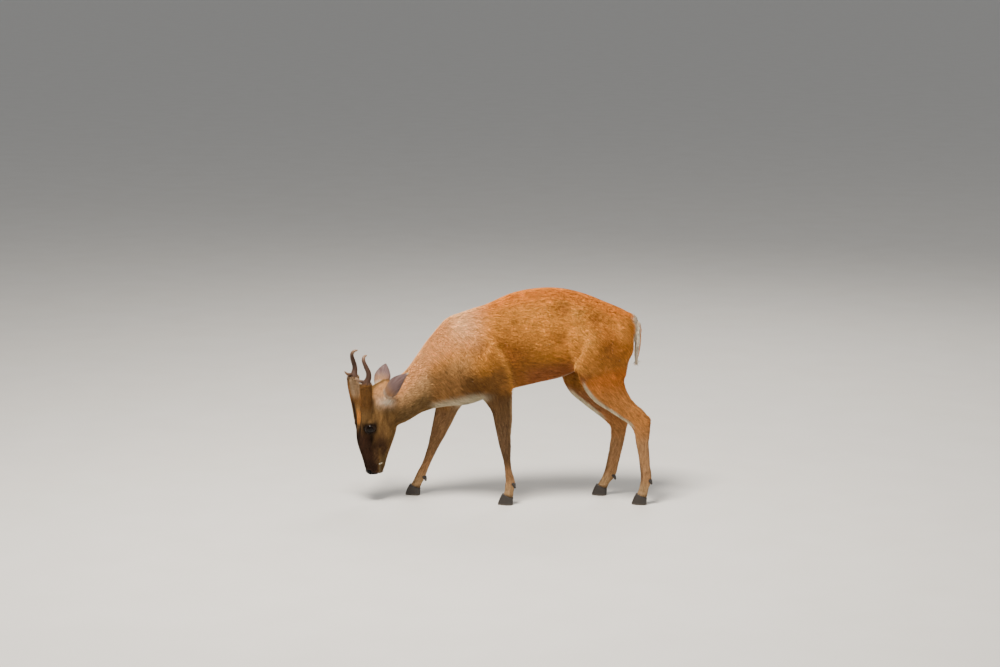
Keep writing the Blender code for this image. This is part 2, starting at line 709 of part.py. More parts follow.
def head_part():
    """The head, with its sockets, lids, mouth, nostrils, glands and flat seats for the ears and antlers."""
    head = fused(skull_masses() + neck_masses(), HEAD_VOXEL, 10)
    head = thinned(head, HEAD_TRIANGLES)
    bm = bmesh.new()
    bm.from_mesh(head.data)
    bpy.data.objects.remove(head)
    part_at(bm, *HEAD_CUT)
    head = nearest_surface(bm, HEAD_ORIGIN, "head")
    bm.free()
    for name, side in SIDES.items():
        s = -side
        seat = head_point(PEDICEL_TOP, ANTLER_SEAT[0], ANTLER_SEAT[1] * s)
        boolean(head, box(seat - ALONG * 0.04, (0.07, 0.05, 0.04), -ALONG, forward=DORSAL))
        ear = EARS[name]
        above = box(ear["root"] + ear["out"] * 0.02, (0.046, 0.046, 0.02), ear["out"], ear["wide"])
        boolean(head, above)
        boolean(head, ball(eye_centre(side), [EYE_RADIUS + GAP] * 3, segments=20))
        boolean(head, almond(side))
        boolean(head, ball(head_point(*GLAND[:2], GLAND[2] * s), GLAND_SIZE, HEAD_AXES, 12))
        boolean(head, tusk_part(side, GAP))
        slant = (unit(ALONG - 0.9 * DORSAL), unit(DORSAL + 0.9 * ALONG), LATERAL)
        boolean(head, ball(head_point(*NOSTRIL[:2], NOSTRIL[2] * s), NOSTRIL_SIZE, slant, 12))
    boolean(head, mouth_cutter())
    head.name = "head"
    return only_surface(head)


def tusk_keys(side):
    """The curved upper tusk, from its root in the lip to its tip beside the lower jaw."""
    s = -side
    rows = [
        (0.1080, 0.0030, 0.0165, 0.0022),
        (0.1074, -0.0015, 0.0190, 0.0020),
        (0.1062, -0.0055, 0.0202, 0.0016),
        (0.1038, -0.0095, 0.0208, 0.0009),
    ]
    return [(*head_point(along, dorsal, lateral * s), reach) for along, dorsal, lateral, reach in rows]


def tusk_part(side, grow=0.0):
    keys = [(*key[:3], key[3] + grow) for key in tusk_keys(side)]
    return round_loft(keys, steps=2, ring=8, domes=(0.001 + grow, 0.0006 + grow), turns=2)


def eye_part(side):
    return ball(eye_centre(side), [EYE_RADIUS] * 3, HEAD_AXES, segments=16)


def ear_part(name):
    """A leaf with a hollow cup, on a round root."""
    ear = EARS[name]
    rows = [  # share of the length, reach to the opening, reach to the back, half width
        (0.00, 0.0140, 0.0140, 0.0145),
        (0.02, 0.0140, 0.0140, 0.0145),
        (0.12, 0.0120, 0.0155, 0.0168),
        (0.28, 0.0080, 0.0160, 0.0212),
        (0.46, 0.0050, 0.0145, 0.0216),
        (0.64, 0.0035, 0.0115, 0.0166),
        (0.80, 0.0026, 0.0080, 0.0102),
        (0.92, 0.0018, 0.0045, 0.0050),
        (1.00, 0.0012, 0.0016, 0.0018),
    ]
    hollow = [
        (0.09, 0.0300, 0.0030, 0.0040),
        (0.17, 0.0300, 0.0095, 0.0112),
        (0.28, 0.0300, 0.0132, 0.0180),
        (0.46, 0.0300, 0.0118, 0.0188),
        (0.64, 0.0300, 0.0088, 0.0138),
        (0.78, 0.0300, 0.0055, 0.0082),
        (0.90, 0.0300, 0.0018, 0.0034),
    ]

    def place(share):
        held = max(share - 0.03, 0)
        bend = 0.007 * held * math.sin(share * math.pi) - 0.003 * held**2
        return ear["root"] + ear["out"] * (GAP + share * EAR_LENGTH) - ear["opens"] * bend

    def keys(table):
        return [(*place(row[0]), row[1], row[2], row[3]) for row in table]

    across = ear["wide"]
    solid = loft(keys(rows), across=across, steps=4, ring=20, domes=(0, 0.002))
    front = np.cross(unit(place(0.5) - place(0.4)), across)
    if np.dot(front, ear["opens"]) < 0:
        bpy.data.objects.remove(solid)
        across = -across
        solid = loft(keys(rows), across=across, steps=4, ring=20, domes=(0, 0.002))
    boolean(solid, loft(keys(hollow), across=across, steps=4, ring=20))
    return thinned(only_surface(solid), 620)


def antler_parts(name, side):
    """The beam with its burr, and the brow tine cut from it at the fork."""
    s = -side
    base = np.array([PEDICEL_TOP - GAP, ANTLER_SEAT[0], ANTLER_SEAT[1] * s])

    def keys(rows):
        return [(*head_point(*(base + np.array([-a, d, w * s]))), r) for a, d, w, r in rows]

    beam = [
        (0.000, 0.000, 0.000, 0.0115),
        (0.004, 0.000, 0.000, 0.0118),
        (0.010, -0.0008, 0.0006, 0.0092),
        (0.020, -0.0045, 0.0028, BEAM_RADIUS),
        (0.036, -0.004, 0.004, 0.0066),
        (0.055, 0.003, 0.001, 0.0055),
        (0.069, 0.006, -0.004, 0.0046),
        (0.078, 0.002, -0.009, 0.0038),
        (0.080, -0.007, -0.012, 0.0018),
    ]
    tine = [
        (0.0075, 0.001, 0.000, 0.0052),
        (0.0105, 0.012, -0.002, 0.0046),
        (0.0145, 0.022, -0.004, 0.0034),
        (0.0230, 0.030, -0.006, 0.0014),
    ]
    solid = round_loft(keys(beam), across=LATERAL, steps=2, ring=11, domes=(0, 0.0012), turns=2)
    branch = round_loft(keys(tine), across=LATERAL, steps=2, ring=9, domes=(0, 0.001), turns=2)
    boolean(solid, branch, "UNION")
    fork = head_point(*(base + np.array([-0.0108, 0.0135, -0.002 * s])))
    way = unit(head_point(-0.0145, 0.022, -0.004 * s) - head_point(-0.0075, 0.001, 0))
    boolean(solid, box(fork, (0.03, 0.03, GAP), way, forward=LATERAL))
    beam_part = only_surface(copy_of(solid), near=head_point(*(base + np.array([-0.044, 0.0, 0]))))
    tine_part = only_surface(solid, near=head_point(*(base + np.array([-0.016, 0.023, -0.004 * s]))))
    return {f"{name}_antler_beam": beam_part, f"{name}_brow_tine": tine_part}


def hoof_part(centre, side_of_foot):
    """One claw of a foot: a flat sole, a pointed toe that leans forward and a sloping top."""
    x, y = centre
    ahead, behind = SOLE
    tilt = unit(HOOF_TILT)
    points = 12
    bm = bmesh.new()
    rings = []
    for level, spread in HOOF_LEVELS:
        ring = []
        for k in range(points + 1):
            angle = math.pi * k / points
            reach = -math.cos(angle)
            wide = math.sin(angle) ** 0.75 * (1 - HOOF_TAPER * (1 - level) * max(reach, 0) ** 1.6)
            low = reach * (ahead if reach > 0 else behind) * spread
            top = reach * (HOOF_TOP_REACH + 0.002 * (reach > 0))
            forward = low + (top - low) * level ** 1.15
            width = (HOOF_WIDTH + (HOOF_TOP_WIDTH - HOOF_WIDTH) * level) * wide * (1 if level else 0.93)
            height = HOOF_TOP - GAP + forward * tilt[0] / tilt[2]
            ring.append(bm.verts.new((x - forward, y + side_of_foot * (CLEFT / 2 + width), level * height)))
        rings.append(ring)
    for one, two in zip(rings, rings[1:]):
        for k in range(points + 1):
            following = (k + 1) % (points + 1)
            bm.faces.new((one[k], one[following], two[following], two[k]))
    bm.faces.new(rings[0])
    bm.faces.new(rings[-1])
    return object_from(bm, "hoof")


def dewclaw_keys(which, side, outward):
    """A small claw behind the fetlock."""
    keys = LEG_KEYS[which](side)
    fetlock = keys[-3]
    x, y, z = fetlock[0] + fetlock[4] * 0.62, fetlock[1] + outward * 0.0068, fetlock[2] - 0.008
    return [
        (x - 0.002, y, z + 0.004, 0.0040),
        (x + 0.0035, y, z - 0.001, 0.0044),
        (x + 0.0055, y, z - 0.0075, 0.0026),
    ]


def tail_loft(grow=0.0):
    keys = [  # place, reach back, reach forward, half width
        (0.356, 0, 0.514, 0.010, 0.012, 0.017),
        (0.370, 0, 0.503, 0.011, 0.011, 0.020),
        (0.3765, 0, 0.478, 0.0105, 0.0085, 0.0235),
        (0.3785, 0, 0.450, 0.0090, 0.0075, 0.0245),
        (0.3770, 0, 0.422, 0.0070, 0.0060, 0.0190),
        (0.3755, 0, 0.396, 0.0028, 0.0030, 0.0070),
    ]
    keys = [(x, y, z, a + grow, b + grow, w + grow) for x, y, z, a, b, w in keys]
    return loft(keys, across=-TO_LEFT, steps=2, ring=14, domes=(0.004 + grow, 0.003 + grow), turns=2)


def main():
    clear_scene()
    nodes = parts_of_body()
    nodes["head"] = head_part()
    nodes["tail"] = tail_loft()
    boolean(nodes["torso"], tail_loft(GAP))
    only_surface(nodes["torso"])
    for name, side in SIDES.items():
        nodes[f"{name}_eye"] = eye_part(side)
        nodes[f"{name}_tusk"] = tusk_part(side)
        nodes[f"{name}_ear"] = ear_part(name)
        nodes.update(antler_parts(name, side))
    for (which, side), centre in HOOF_CENTRES.items():
        word = "left" if side == LEFT else "right"
        for place, outward in (("outer", side), ("inner", -side)):
            nodes[f"{word}_{which}_{place}_hoof"] = hoof_part(centre, outward)
            keys = dewclaw_keys(which, side, outward)
            claw = round_loft(keys, steps=1, ring=8, domes=(0.002, 0.0018), turns=2)
            nodes[f"{word}_{which}_{place}_dewclaw"] = claw
            wider = [(*key[:3], key[3] + GAP) for key in keys]
            shank = nodes[f"{word}_{which}_shank"]
            socket = round_loft(wider, steps=1, ring=8, domes=(0.002 + GAP, 0.0018 + GAP), turns=2)
            boolean(shank, socket)
            only_surface(shank)
    flesh = {"torso": RUFOUS, "neck": FAWN, "head": OLIVE, "tail": CREAM}
    collection = bpy.data.collections.new("muntjac")
    bpy.context.scene.collection.children.link(collection)
    for name, node in nodes.items():
        word = name.split("_")[-1]
        if word in ("hoof", "dewclaw"):
            finish = material("hoof", HOOF, 0.5)
        elif word in ("beam", "tine"):
            finish = material("antler", HORN, 0.6)
        elif word == "eye":
            finish = material("eye", EYE, 0.05)
        elif word == "tusk":
            finish = material("tusk", IVORY, 0.4)
        elif word == "ear":
            finish = material("ear", EAR_BROWN, 0.8)
        elif word in ("leg", "shank"):
            finish = material("coat_" + word, RUFOUS if word == "leg" else SHANK, 0.8)
        else:
            finish = material("coat_" + name, flesh[name], 0.8)
        node.name = name
        node.data.materials.clear()
        node.data.materials.append(finish)
        bpy.context.scene.collection.objects.unlink(node)
        collection.objects.link(node)
    bounds = np.concatenate([points_of(node) for node in nodes.values()])
    middle = (bounds.min(axis=0) + bounds.max(axis=0)) / 2
    for node in nodes.values():
        node.data.transform(Matrix.Translation((-middle[0], -middle[1], 0)))


main()
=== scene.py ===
"""A grown muntjac buck in its summer coat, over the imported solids.

Metres, +Z up, in the frame of the solids: the nose points along -X and the animal's left side is -Y.
One skin is fused from the solids of flesh and drawn in by the coat's depth. Tufts of hair stand on it
and reach back out to the solids' outline.
"""

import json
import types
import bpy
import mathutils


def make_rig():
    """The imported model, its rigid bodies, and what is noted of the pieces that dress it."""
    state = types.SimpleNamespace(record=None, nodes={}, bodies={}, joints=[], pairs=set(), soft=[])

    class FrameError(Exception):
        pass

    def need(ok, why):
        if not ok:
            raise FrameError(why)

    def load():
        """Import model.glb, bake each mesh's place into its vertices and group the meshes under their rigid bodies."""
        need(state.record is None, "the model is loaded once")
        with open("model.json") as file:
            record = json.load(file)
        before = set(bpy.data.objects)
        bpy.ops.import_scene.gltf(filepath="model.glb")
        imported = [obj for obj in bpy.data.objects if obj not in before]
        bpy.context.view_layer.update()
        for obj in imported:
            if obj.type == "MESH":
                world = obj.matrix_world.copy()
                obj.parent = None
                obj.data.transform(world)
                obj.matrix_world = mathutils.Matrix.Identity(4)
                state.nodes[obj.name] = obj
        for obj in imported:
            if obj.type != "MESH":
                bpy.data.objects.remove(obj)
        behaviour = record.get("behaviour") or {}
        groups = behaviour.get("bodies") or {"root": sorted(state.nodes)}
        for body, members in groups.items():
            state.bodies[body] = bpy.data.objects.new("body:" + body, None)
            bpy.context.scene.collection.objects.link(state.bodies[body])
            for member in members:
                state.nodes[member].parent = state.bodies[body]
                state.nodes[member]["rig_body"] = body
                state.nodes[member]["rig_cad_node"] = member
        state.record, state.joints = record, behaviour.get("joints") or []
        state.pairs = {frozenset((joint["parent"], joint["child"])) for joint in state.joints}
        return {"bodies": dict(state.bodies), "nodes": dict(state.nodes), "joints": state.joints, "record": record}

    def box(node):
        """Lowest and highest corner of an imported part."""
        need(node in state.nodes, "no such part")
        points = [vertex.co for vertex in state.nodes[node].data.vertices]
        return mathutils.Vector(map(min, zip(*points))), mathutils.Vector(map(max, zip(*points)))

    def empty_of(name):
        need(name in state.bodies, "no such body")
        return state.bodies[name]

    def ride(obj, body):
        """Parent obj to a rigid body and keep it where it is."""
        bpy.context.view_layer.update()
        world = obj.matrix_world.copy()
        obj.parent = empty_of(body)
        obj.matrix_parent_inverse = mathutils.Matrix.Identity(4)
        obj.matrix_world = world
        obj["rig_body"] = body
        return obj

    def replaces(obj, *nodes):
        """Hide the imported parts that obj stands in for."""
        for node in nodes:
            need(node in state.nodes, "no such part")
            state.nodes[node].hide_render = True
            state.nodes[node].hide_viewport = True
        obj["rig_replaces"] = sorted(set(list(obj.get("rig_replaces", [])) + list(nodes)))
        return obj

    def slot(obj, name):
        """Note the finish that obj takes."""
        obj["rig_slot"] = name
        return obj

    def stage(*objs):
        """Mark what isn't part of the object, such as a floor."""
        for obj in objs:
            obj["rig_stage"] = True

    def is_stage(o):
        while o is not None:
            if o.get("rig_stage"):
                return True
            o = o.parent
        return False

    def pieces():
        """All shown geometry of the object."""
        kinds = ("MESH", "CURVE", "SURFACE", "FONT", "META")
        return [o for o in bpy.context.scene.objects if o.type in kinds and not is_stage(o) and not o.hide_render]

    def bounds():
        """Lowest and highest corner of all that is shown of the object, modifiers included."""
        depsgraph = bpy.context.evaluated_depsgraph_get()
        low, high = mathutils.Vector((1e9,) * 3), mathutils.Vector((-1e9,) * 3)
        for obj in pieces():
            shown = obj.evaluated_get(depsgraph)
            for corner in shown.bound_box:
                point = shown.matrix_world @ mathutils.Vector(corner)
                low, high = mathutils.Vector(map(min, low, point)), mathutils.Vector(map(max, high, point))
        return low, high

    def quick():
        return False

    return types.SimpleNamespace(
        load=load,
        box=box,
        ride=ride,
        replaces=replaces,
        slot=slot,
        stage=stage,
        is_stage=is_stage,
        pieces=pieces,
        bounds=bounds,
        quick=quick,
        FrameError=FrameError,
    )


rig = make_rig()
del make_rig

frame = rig.load()
cad_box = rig.bounds()

import json
import math

import bmesh
import bpy
import numpy as np
from mathutils import Matrix, Vector
from mathutils.kdtree import KDTree

rng = np.random.default_rng(11)
SIDES = {"left": -1, "right": 1}
FEET = [f"{side}_{which}" for which in ("fore", "hind") for side in SIDES]
FLESH = ["torso", "neck", "head", "tail"] + [f"{foot}_{part}" for foot in FEET for part in ("leg", "shank")]
TORSO, NECK, HEAD = 0, 1, 2  # places in FLESH

# How finely the skin is made
BODY_VOXEL = 0.0026
EAR_VOXEL = 0.0012
HORN_VOXEL = 0.0010
CLAW_VOXELS = {"hoof": 0.0013, "dewclaw": 0.0010}
TUSK_VOXEL = 0.0005
OVERLAP = 0.0004  # how far each solid grows, so that neighbours meet

# Tufts
TORSO_PIECES = 5
LOCK_TUFTS = 6  # tufts to a lock
TUFT_POINTS = 7
SPLAY = 0.036  # how far a tuft, and each lock of tufts, turns from the coat's way
ROOT_DEPTH = 0.0008  # how deep a tuft stands in the skin
PATCH = 0.0015  # half the width of a tuft's patch on the unwrap
LEAST_DEPTH = 0.0008  # of the coat, under a tuft
HELD_SPACING = 0.003  # where the skin is held to the solids, above the hooves and round the burrs
QUICK_SPARSER, QUICK_EARS_SPARSER = 2.2, 2.0


def unit(vector):
    vector = np.asarray(vector, float)
    return vector / np.maximum(np.linalg.norm(vector, axis=-1, keepdims=True), 1e-12)


def step(value, low, high):
    """0 below low, 1 above high, and smooth between them; high may be the smaller one."""
    share = np.clip((value - low) / (high - low), 0, 1)
    return share * share * (3 - 2 * share)


def between(value, low, first, last, high):
    """1 from first to last, and smoothly down to 0 at low and at high."""
    return step(value, low, first) * step(value, high, last)


def hump(value, centre, reach):
    """1 at the centre, falling off like a bell."""
    return np.exp(-(((value - centre) / reach) ** 2))


def nearest(points, places):
    """How far each point is from the nearest of the places."""
    return np.min([np.linalg.norm(points - place, axis=1) for place in places], axis=0)


def tree_of(points):
    tree = KDTree(len(points))
    for index, point in enumerate(points):
        tree.insert(point, index)
    tree.balance()
    return tree


def linear(code):
    """A colour written as RRGGBB, in the shader's own linear values."""
    parts = np.array([int(code[k : k + 2], 16) for k in (0, 2, 4)]) / 255
    return np.where(parts <= 0.04045, parts / 12.92, ((parts + 0.055) / 1.055) ** 2.4)


def middle(node):
    low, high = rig.box(node)
    return (np.array(low) + np.array(high)) / 2


# The head's frame: along runs down to the nose, dorsal out of the forehead, lateral to the animal's left
HEAD_YAW, HEAD_ROLL, HEAD_PITCH = (math.radians(angle) for angle in (28, 4, 3))
HEAD_TURN = (
    Matrix.Rotation(HEAD_YAW, 3, "Z")
    @ Matrix.Rotation(HEAD_ROLL, 3, "X")
    @ Matrix.Rotation(HEAD_PITCH, 3, "Y").inverted()
)
ALONG = np.array(HEAD_TURN @ Vector((0, 0, -1)))
DORSAL = np.array(HEAD_TURN @ Vector((-1, 0, 0)))
LATERAL = np.array(HEAD_TURN @ Vector((0, -1, 0)))
EYES = {name: middle(f"{name}_eye") for name in SIDES}
EYE_PLACE = (-0.005, 0.030, 0.0325)  # in the head's frame
EYE_RADIUS = 0.0135
HEAD_ORIGIN = (EYES["left"] + EYES["right"]) / 2 - EYE_PLACE[0] * ALONG - EYE_PLACE[1] * DORSAL


def ear_setting(root, way, opening):
    """Where an ear is set on, the way it points, and the way its cup opens."""
    out = unit(way)
    opening = np.array(opening)
    opens = unit(opening - (opening @ out) * out)
    return {"root": head_point(*root), "out": out, "opens": opens}


def in_head(points):
    """Along, dorsal and lateral of each point."""
    offset = points - HEAD_ORIGIN
    return offset @ ALONG, offset @ DORSAL, offset @ LATERAL


def head_point(along, dorsal, lateral):
    return HEAD_ORIGIN + along * ALONG + dorsal * DORSAL + lateral * LATERAL


EARS = {
    "left": ear_setting((-0.097, -0.022, 0.042), (0.53, -0.535, 0.658), (0.66, 0.58, -0.10)),
    "right": ear_setting((-0.092, -0.038, -0.043), (0.115, 0.872, 0.476), (-0.12, 0.61, -0.78)),
}


def put_in(name, data):
    """An object in the scene."""
    thing = bpy.data.objects.new(name, data)
    bpy.context.scene.collection.objects.link(thing)
    return thing


def settle(piece, material, slot, *nodes):
    """Gives a piece its material and slot, and the solids that it replaces."""
    piece.data.materials.append(material)
    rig.ride(piece, "root")
    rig.slot(piece, slot)
    if nodes:
        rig.replaces(piece, *nodes)


# Meshes as arrays


def mesh_from(name, points, *face_sets):
    """An object from points and arrays of triangles or quads."""
    mesh = bpy.data.meshes.new(name)
    mesh.vertices.add(len(points))
    mesh.vertices.foreach_set("co", np.ascontiguousarray(points, np.float32).ravel())
    corners = np.concatenate([faces.ravel() for faces in face_sets])
    sizes = np.concatenate([np.full(len(faces), faces.shape[1]) for faces in face_sets])
    mesh.loops.add(len(corners))
    mesh.loops.foreach_set("vertex_index", corners.astype(np.int32))
    mesh.polygons.add(len(sizes))
    mesh.polygons.foreach_set("loop_start", (np.cumsum(sizes) - sizes).astype(np.int32))
    mesh.update(calc_edges=True)
    mesh.shade_smooth()
    return put_in(name, mesh)


def read_array(items, key, width, kind=np.float32):
    values = np.empty(len(items) * width, kind)
    items.foreach_get(key, values)
    return values.reshape(-1, width) if width > 1 else values


def points_of(mesh):
    return read_array(mesh.vertices, "co", 3).astype(float)


def node_mesh(name):
    """A solid's welded points and triangles."""
    mesh = frame["nodes"][name].data
    mesh.calc_loop_triangles()
    points = points_of(mesh)
    triangles = read_array(mesh.loop_triangles, "vertices", 3, np.int32)
    cells = np.round(points / 1e-6).astype(np.int64)
    _, first, index = np.unique(cells, axis=0, return_index=True, return_inverse=True)
    triangles = index.reshape(-1)[triangles]
    whole = (triangles[:, 0] != triangles[:, 1]) & (triangles[:, 1] != triangles[:, 2])
    whole &= triangles[:, 0] != triangles[:, 2]
    return points[first], triangles[whole]


def normals_of(points, faces):
    """Points' normals, from triangles or quads."""
    one = points[faces[:, 2]] - points[faces[:, 0]]
    if faces.shape[1] == 4:
        across = np.cross(one, points[faces[:, 3]] - points[faces[:, 1]])
    else:
        across = np.cross(points[faces[:, 1]] - points[faces[:, 0]], one)
    total = np.zeros_like(points)
    for k in range(faces.shape[1]):
        for axis in range(3):
            total[:, axis] += np.bincount(faces[:, k], weights=across[:, axis], minlength=len(points))
    return unit(total)


def fused(meshes, voxel):
    """One closed skin of quads over several closed meshes."""
    points, triangles, count = [], [], 0
    for some, faces in meshes:
        points.append(some)
        triangles.append(faces + count)
        count += len(some)
    source = mesh_from("source", np.concatenate(points), np.concatenate(triangles))
    remesh = source.modifiers.new("fuse", "REMESH")
    remesh.mode = "VOXEL"
    remesh.voxel_size = voxel
    evaluated = source.evaluated_get(bpy.context.evaluated_depsgraph_get())
    mesh = evaluated.to_mesh()
    points = points_of(mesh)
    quads = read_array(mesh.loops, "vertex_index", 1, np.int32).reshape(-1, 4)
    evaluated.to_mesh_clear()
    drop(source)
    return points, quads


def drop(thing):
    mesh = thing.data
    bpy.data.objects.remove(thing)
    bpy.data.meshes.remove(mesh)


def ball_mesh(centre, radius):
    bm = bmesh.new()
    bmesh.ops.create_icosphere(bm, subdivisions=4, radius=radius)
    points = np.array([vertex.co for vertex in bm.verts]) + centre
    triangles = np.array([[vertex.index for vertex in face.verts] for face in bm.faces])
    bm.free()
    return points, triangles


class Net:
    """Which points of a mesh are joined, for averages over neighbours."""

    def __init__(self, count, faces):
        following = np.roll(faces, -1, axis=1)
        ends = np.sort(np.stack([faces.ravel(), following.ravel()], axis=1), axis=1)
        ends = np.unique(ends[:, 0].astype(np.int64) * count + ends[:, 1])
        self.one, self.two = ends // count, ends % count
        self.count = count
        self.degree = np.maximum(np.bincount(np.concatenate([self.one, self.two]), minlength=count), 1)

    def mean(self, values):
        flat = values.reshape(self.count, -1)
        out = np.empty_like(flat)
        for k in range(flat.shape[1]):
            column = flat[:, k]
            out[:, k] = np.bincount(self.one, weights=column[self.two], minlength=self.count)
            out[:, k] += np.bincount(self.two, weights=column[self.one], minlength=self.count)
        return (out / self.degree[:, None]).reshape(values.shape)

    def smoothed(self, values, passes):
        for _ in range(passes):
            values = values + 0.5 * (self.mean(values) - values)
        return values

    def relaxed(self, points, passes):
        """Smooths without shrinking: each step in is followed by a step out."""
        for _ in range(passes):
            points = points + 0.50 * (self.mean(points) - points)
            points = points - 0.53 * (self.mean(points) - points)
        return points


# The skin


def owners_of(points):
    """Which solid of flesh each point is nearest to, as an index into FLESH."""
    tree_points, tree_owner = [], []
    for index, node in enumerate(FLESH):
        some, triangles = node_mesh(node)
        both = np.concatenate([some, some[triangles].mean(axis=1)])
        tree_points.append(both)
        tree_owner.append(np.full(len(both), index))
    tree_points, tree_owner = np.concatenate(tree_points), np.concatenate(tree_owner)
    tree = tree_of(tree_points)
    return tree_owner[np.array([tree.find(point)[1] for point in points])]


def refined_where(points, quads, wanted):
    """Splits the wanted quads in four, and their neighbours as that needs: points, quads and triangles."""
    source = mesh_from("source", points, quads)
    bm = bmesh.new()
    bm.from_mesh(source.data)
    drop(source)
    bm.faces.ensure_lookup_table()
    edges = {edge for index in np.flatnonzero(wanted) for edge in bm.faces[index].edges}
    bmesh.ops.subdivide_edges(bm, edges=list(edges), cuts=1, use_grid_fill=True)
    bmesh.ops.triangulate(bm, faces=[face for face in bm.faces if len(face.verts) != 4])
    mesh = bpy.data.meshes.new("refined")
    bm.to_mesh(mesh)
    bm.free()
    points = points_of(mesh)
    sizes = read_array(mesh.polygons, "loop_total", 1, np.int32)
    starts = read_array(mesh.polygons, "loop_start", 1, np.int32)
    corners = read_array(mesh.loops, "vertex_index", 1, np.int32)
    quads = corners[starts[sizes == 4][:, None] + np.arange(4)]
    triangles = corners[starts[sizes == 3][:, None] + np.arange(3)]
    bpy.data.meshes.remove(mesh)
    return points, quads, triangles


def eye_axes(side):
    """The way an eye looks, its opening's length, from ear to nose, and its height, up to the forehead."""
    look = unit(0.10 * ALONG + 0.42 * DORSAL - side * LATERAL)
    length = unit(ALONG - 0.42 * DORSAL)
    length = unit(length - (length @ look) * look)
    height = np.cross(look, length)
    return look, length, height * (1 if height @ DORSAL > 0 else -1)


LID = 0.0017  # how thick the lids are
OPENING = (0.0125, 0.0098)  # the lids' half length and half height
ROUNDNESS = 1.75  # 2 makes the opening an ellipse, 1 a diamond


def lids(points, name, side):
    """Opens the skin over the eye, and rolls its edge into lids with a fold above them."""
    look, length, height = eye_axes(side)
    offset = points - EYES[name]
    far = np.linalg.norm(offset, axis=1)
    out = offset @ look
    u, w = offset @ length, offset @ height
    corner = OPENING[0] * (1 + 0.16 * step(u, 0, 0.01))
    around = ((np.abs(u) / corner) ** ROUNDNESS + (np.abs(w) / OPENING[1]) ** ROUNDNESS) ** (1 / ROUNDNESS)
    near = (out > 0.003) & (far < 0.026)
    rim = EYE_RADIUS + LID * (1 + 0.35 * step(w, -0.002, 0.006))
    inside = EYE_RADIUS - 0.0030
    reach = inside + (rim - inside) * step(around, 0.96, 1.08)
    fold = -0.0010 * hump(around, 1.75, 0.10) * step(w, 0.000, 0.006)
    blend = step(around, 1.25, 2.0)
    reach = reach * (1 - blend) + np.maximum(far, rim * (1 - blend)) * blend + fold
    moved = EYES[name] + offset / far[:, None] * reach[:, None]
    return np.where(near[:, None], moved, points)


NOSTRIL = (0.1335, 0.0190, 0.0140)  # along, dorsal and lateral
GLAND = (0.0290, 0.0270)  # along and dorsal
MOUTH_WIDTH = 0.0185  # half of it
RIDGE = (  # along, and how far from the middle the ridge is there
    (-0.132, -0.090, -0.055, -0.020, 0.014, 0.040),
    (0.042, 0.036, 0.029, 0.022, 0.014, 0.008),
)


def mouth_gap(along, dorsal, lateral):
    """How far a point is above the line between the lips, and 1 on the part where they meet."""
    line = -0.0015 + 0.0020 * np.clip(lateral / MOUTH_WIDTH, -1, 1) ** 2
    return dorsal - line, step(along, 0.0915, 0.0965)


def past_ridge(along, lateral):
    """How far to the outer side of the pedicel's crest, and of the ridge below it, a point is."""
    return np.abs(lateral) - np.interp(along, *RIDGE)


def face_forms(points, normals):
    """How far the skin of the head stands out or in: lips, nostrils, glands and folds."""
    along, dorsal, lateral = in_head(points)
    gap, lips = mouth_gap(along, dorsal, lateral)
    lips = lips * step(-(normals @ LATERAL) ** 2 + 1.2, 0.1, 0.3)
    line, upper, lower = hump(gap, 0, 0.0010), hump(gap, 0.0034, 0.0022), hump(gap, -0.003, 0.002)
    rise = lips * (-0.0024 * line + 0.0009 * upper + 0.0006 * lower)
    cleft = hump(lateral, 0, 0.0010) * step(along, 0.130, 0.135) * step(dorsal, 0.016, 0.010)
    rise -= 0.0010 * cleft * step(gap, 0, 0.002)
    for side in SIDES.values():
        out = -side * lateral
        a, d, l = along - NOSTRIL[0], dorsal - NOSTRIL[1], out - NOSTRIL[2]
        curl = 0.67 * a + 0.74 * d - 0.9 * (l / 0.0055) ** 2 * 0.0016
        slit = hump(l, 0, 0.0056) * hump(curl, 0, 0.0021)
        wing = hump(l, 0, 0.0085) * hump(curl, 0.0045, 0.0022)
        rise += step(along, 0.118, 0.124) * (out > 0.003) * (0.0010 * wing - 0.0060 * slit)
        a = along - GLAND[0]
        d = dorsal - GLAND[1] - 0.06 * a
        gland = 0.0010 * hump(np.abs(d), 0.0036, 0.0016) - 0.0034 * hump(d, 0, 0.0013)
        rise += step(out, 0.018, 0.024) * hump(a, 0, 0.0125) * gland
    beside = hump(past_ridge(along, lateral), -0.0085, 0.0024) * step(dorsal, 0.028, 0.038)
    rise -= 0.0014 * beside * between(along, -0.090, -0.065, 0.015, 0.040)
    return rise


def grown(node):
    """A solid's points, a little outside it, and its triangles."""
    points, triangles = node_mesh(node)
    return points + OVERLAP * normals_of(points, triangles), triangles


def skin_mesh():
    """The skin over the whole body at the coat's outline, before it is drawn in."""
    meshes = [grown(node) for node in FLESH]
    meshes += [ball_mesh(EYES[name], EYE_RADIUS + 0.0012) for name in SIDES]
    points, quads = fused(meshes, BODY_VOXEL)
    net = Net(len(points), quads)
    points = net.relaxed(points, 10)
    owner = owners_of(points)
    trunk = net.smoothed(np.isin(owner, [TORSO, NECK]).astype(float), 18)[:, None]
    soft = net.smoothed(points, 58)
    out = normals_of(soft, quads)
    lost = net.smoothed(np.sum((points - soft) * out, axis=1), 86)
    points = points + trunk * (soft + out * lost[:, None] - points)
    points = points + (1 - trunk) * (net.relaxed(points, 16) - points)
    return refined_where(points, quads, (owner == HEAD)[quads].all(axis=1))


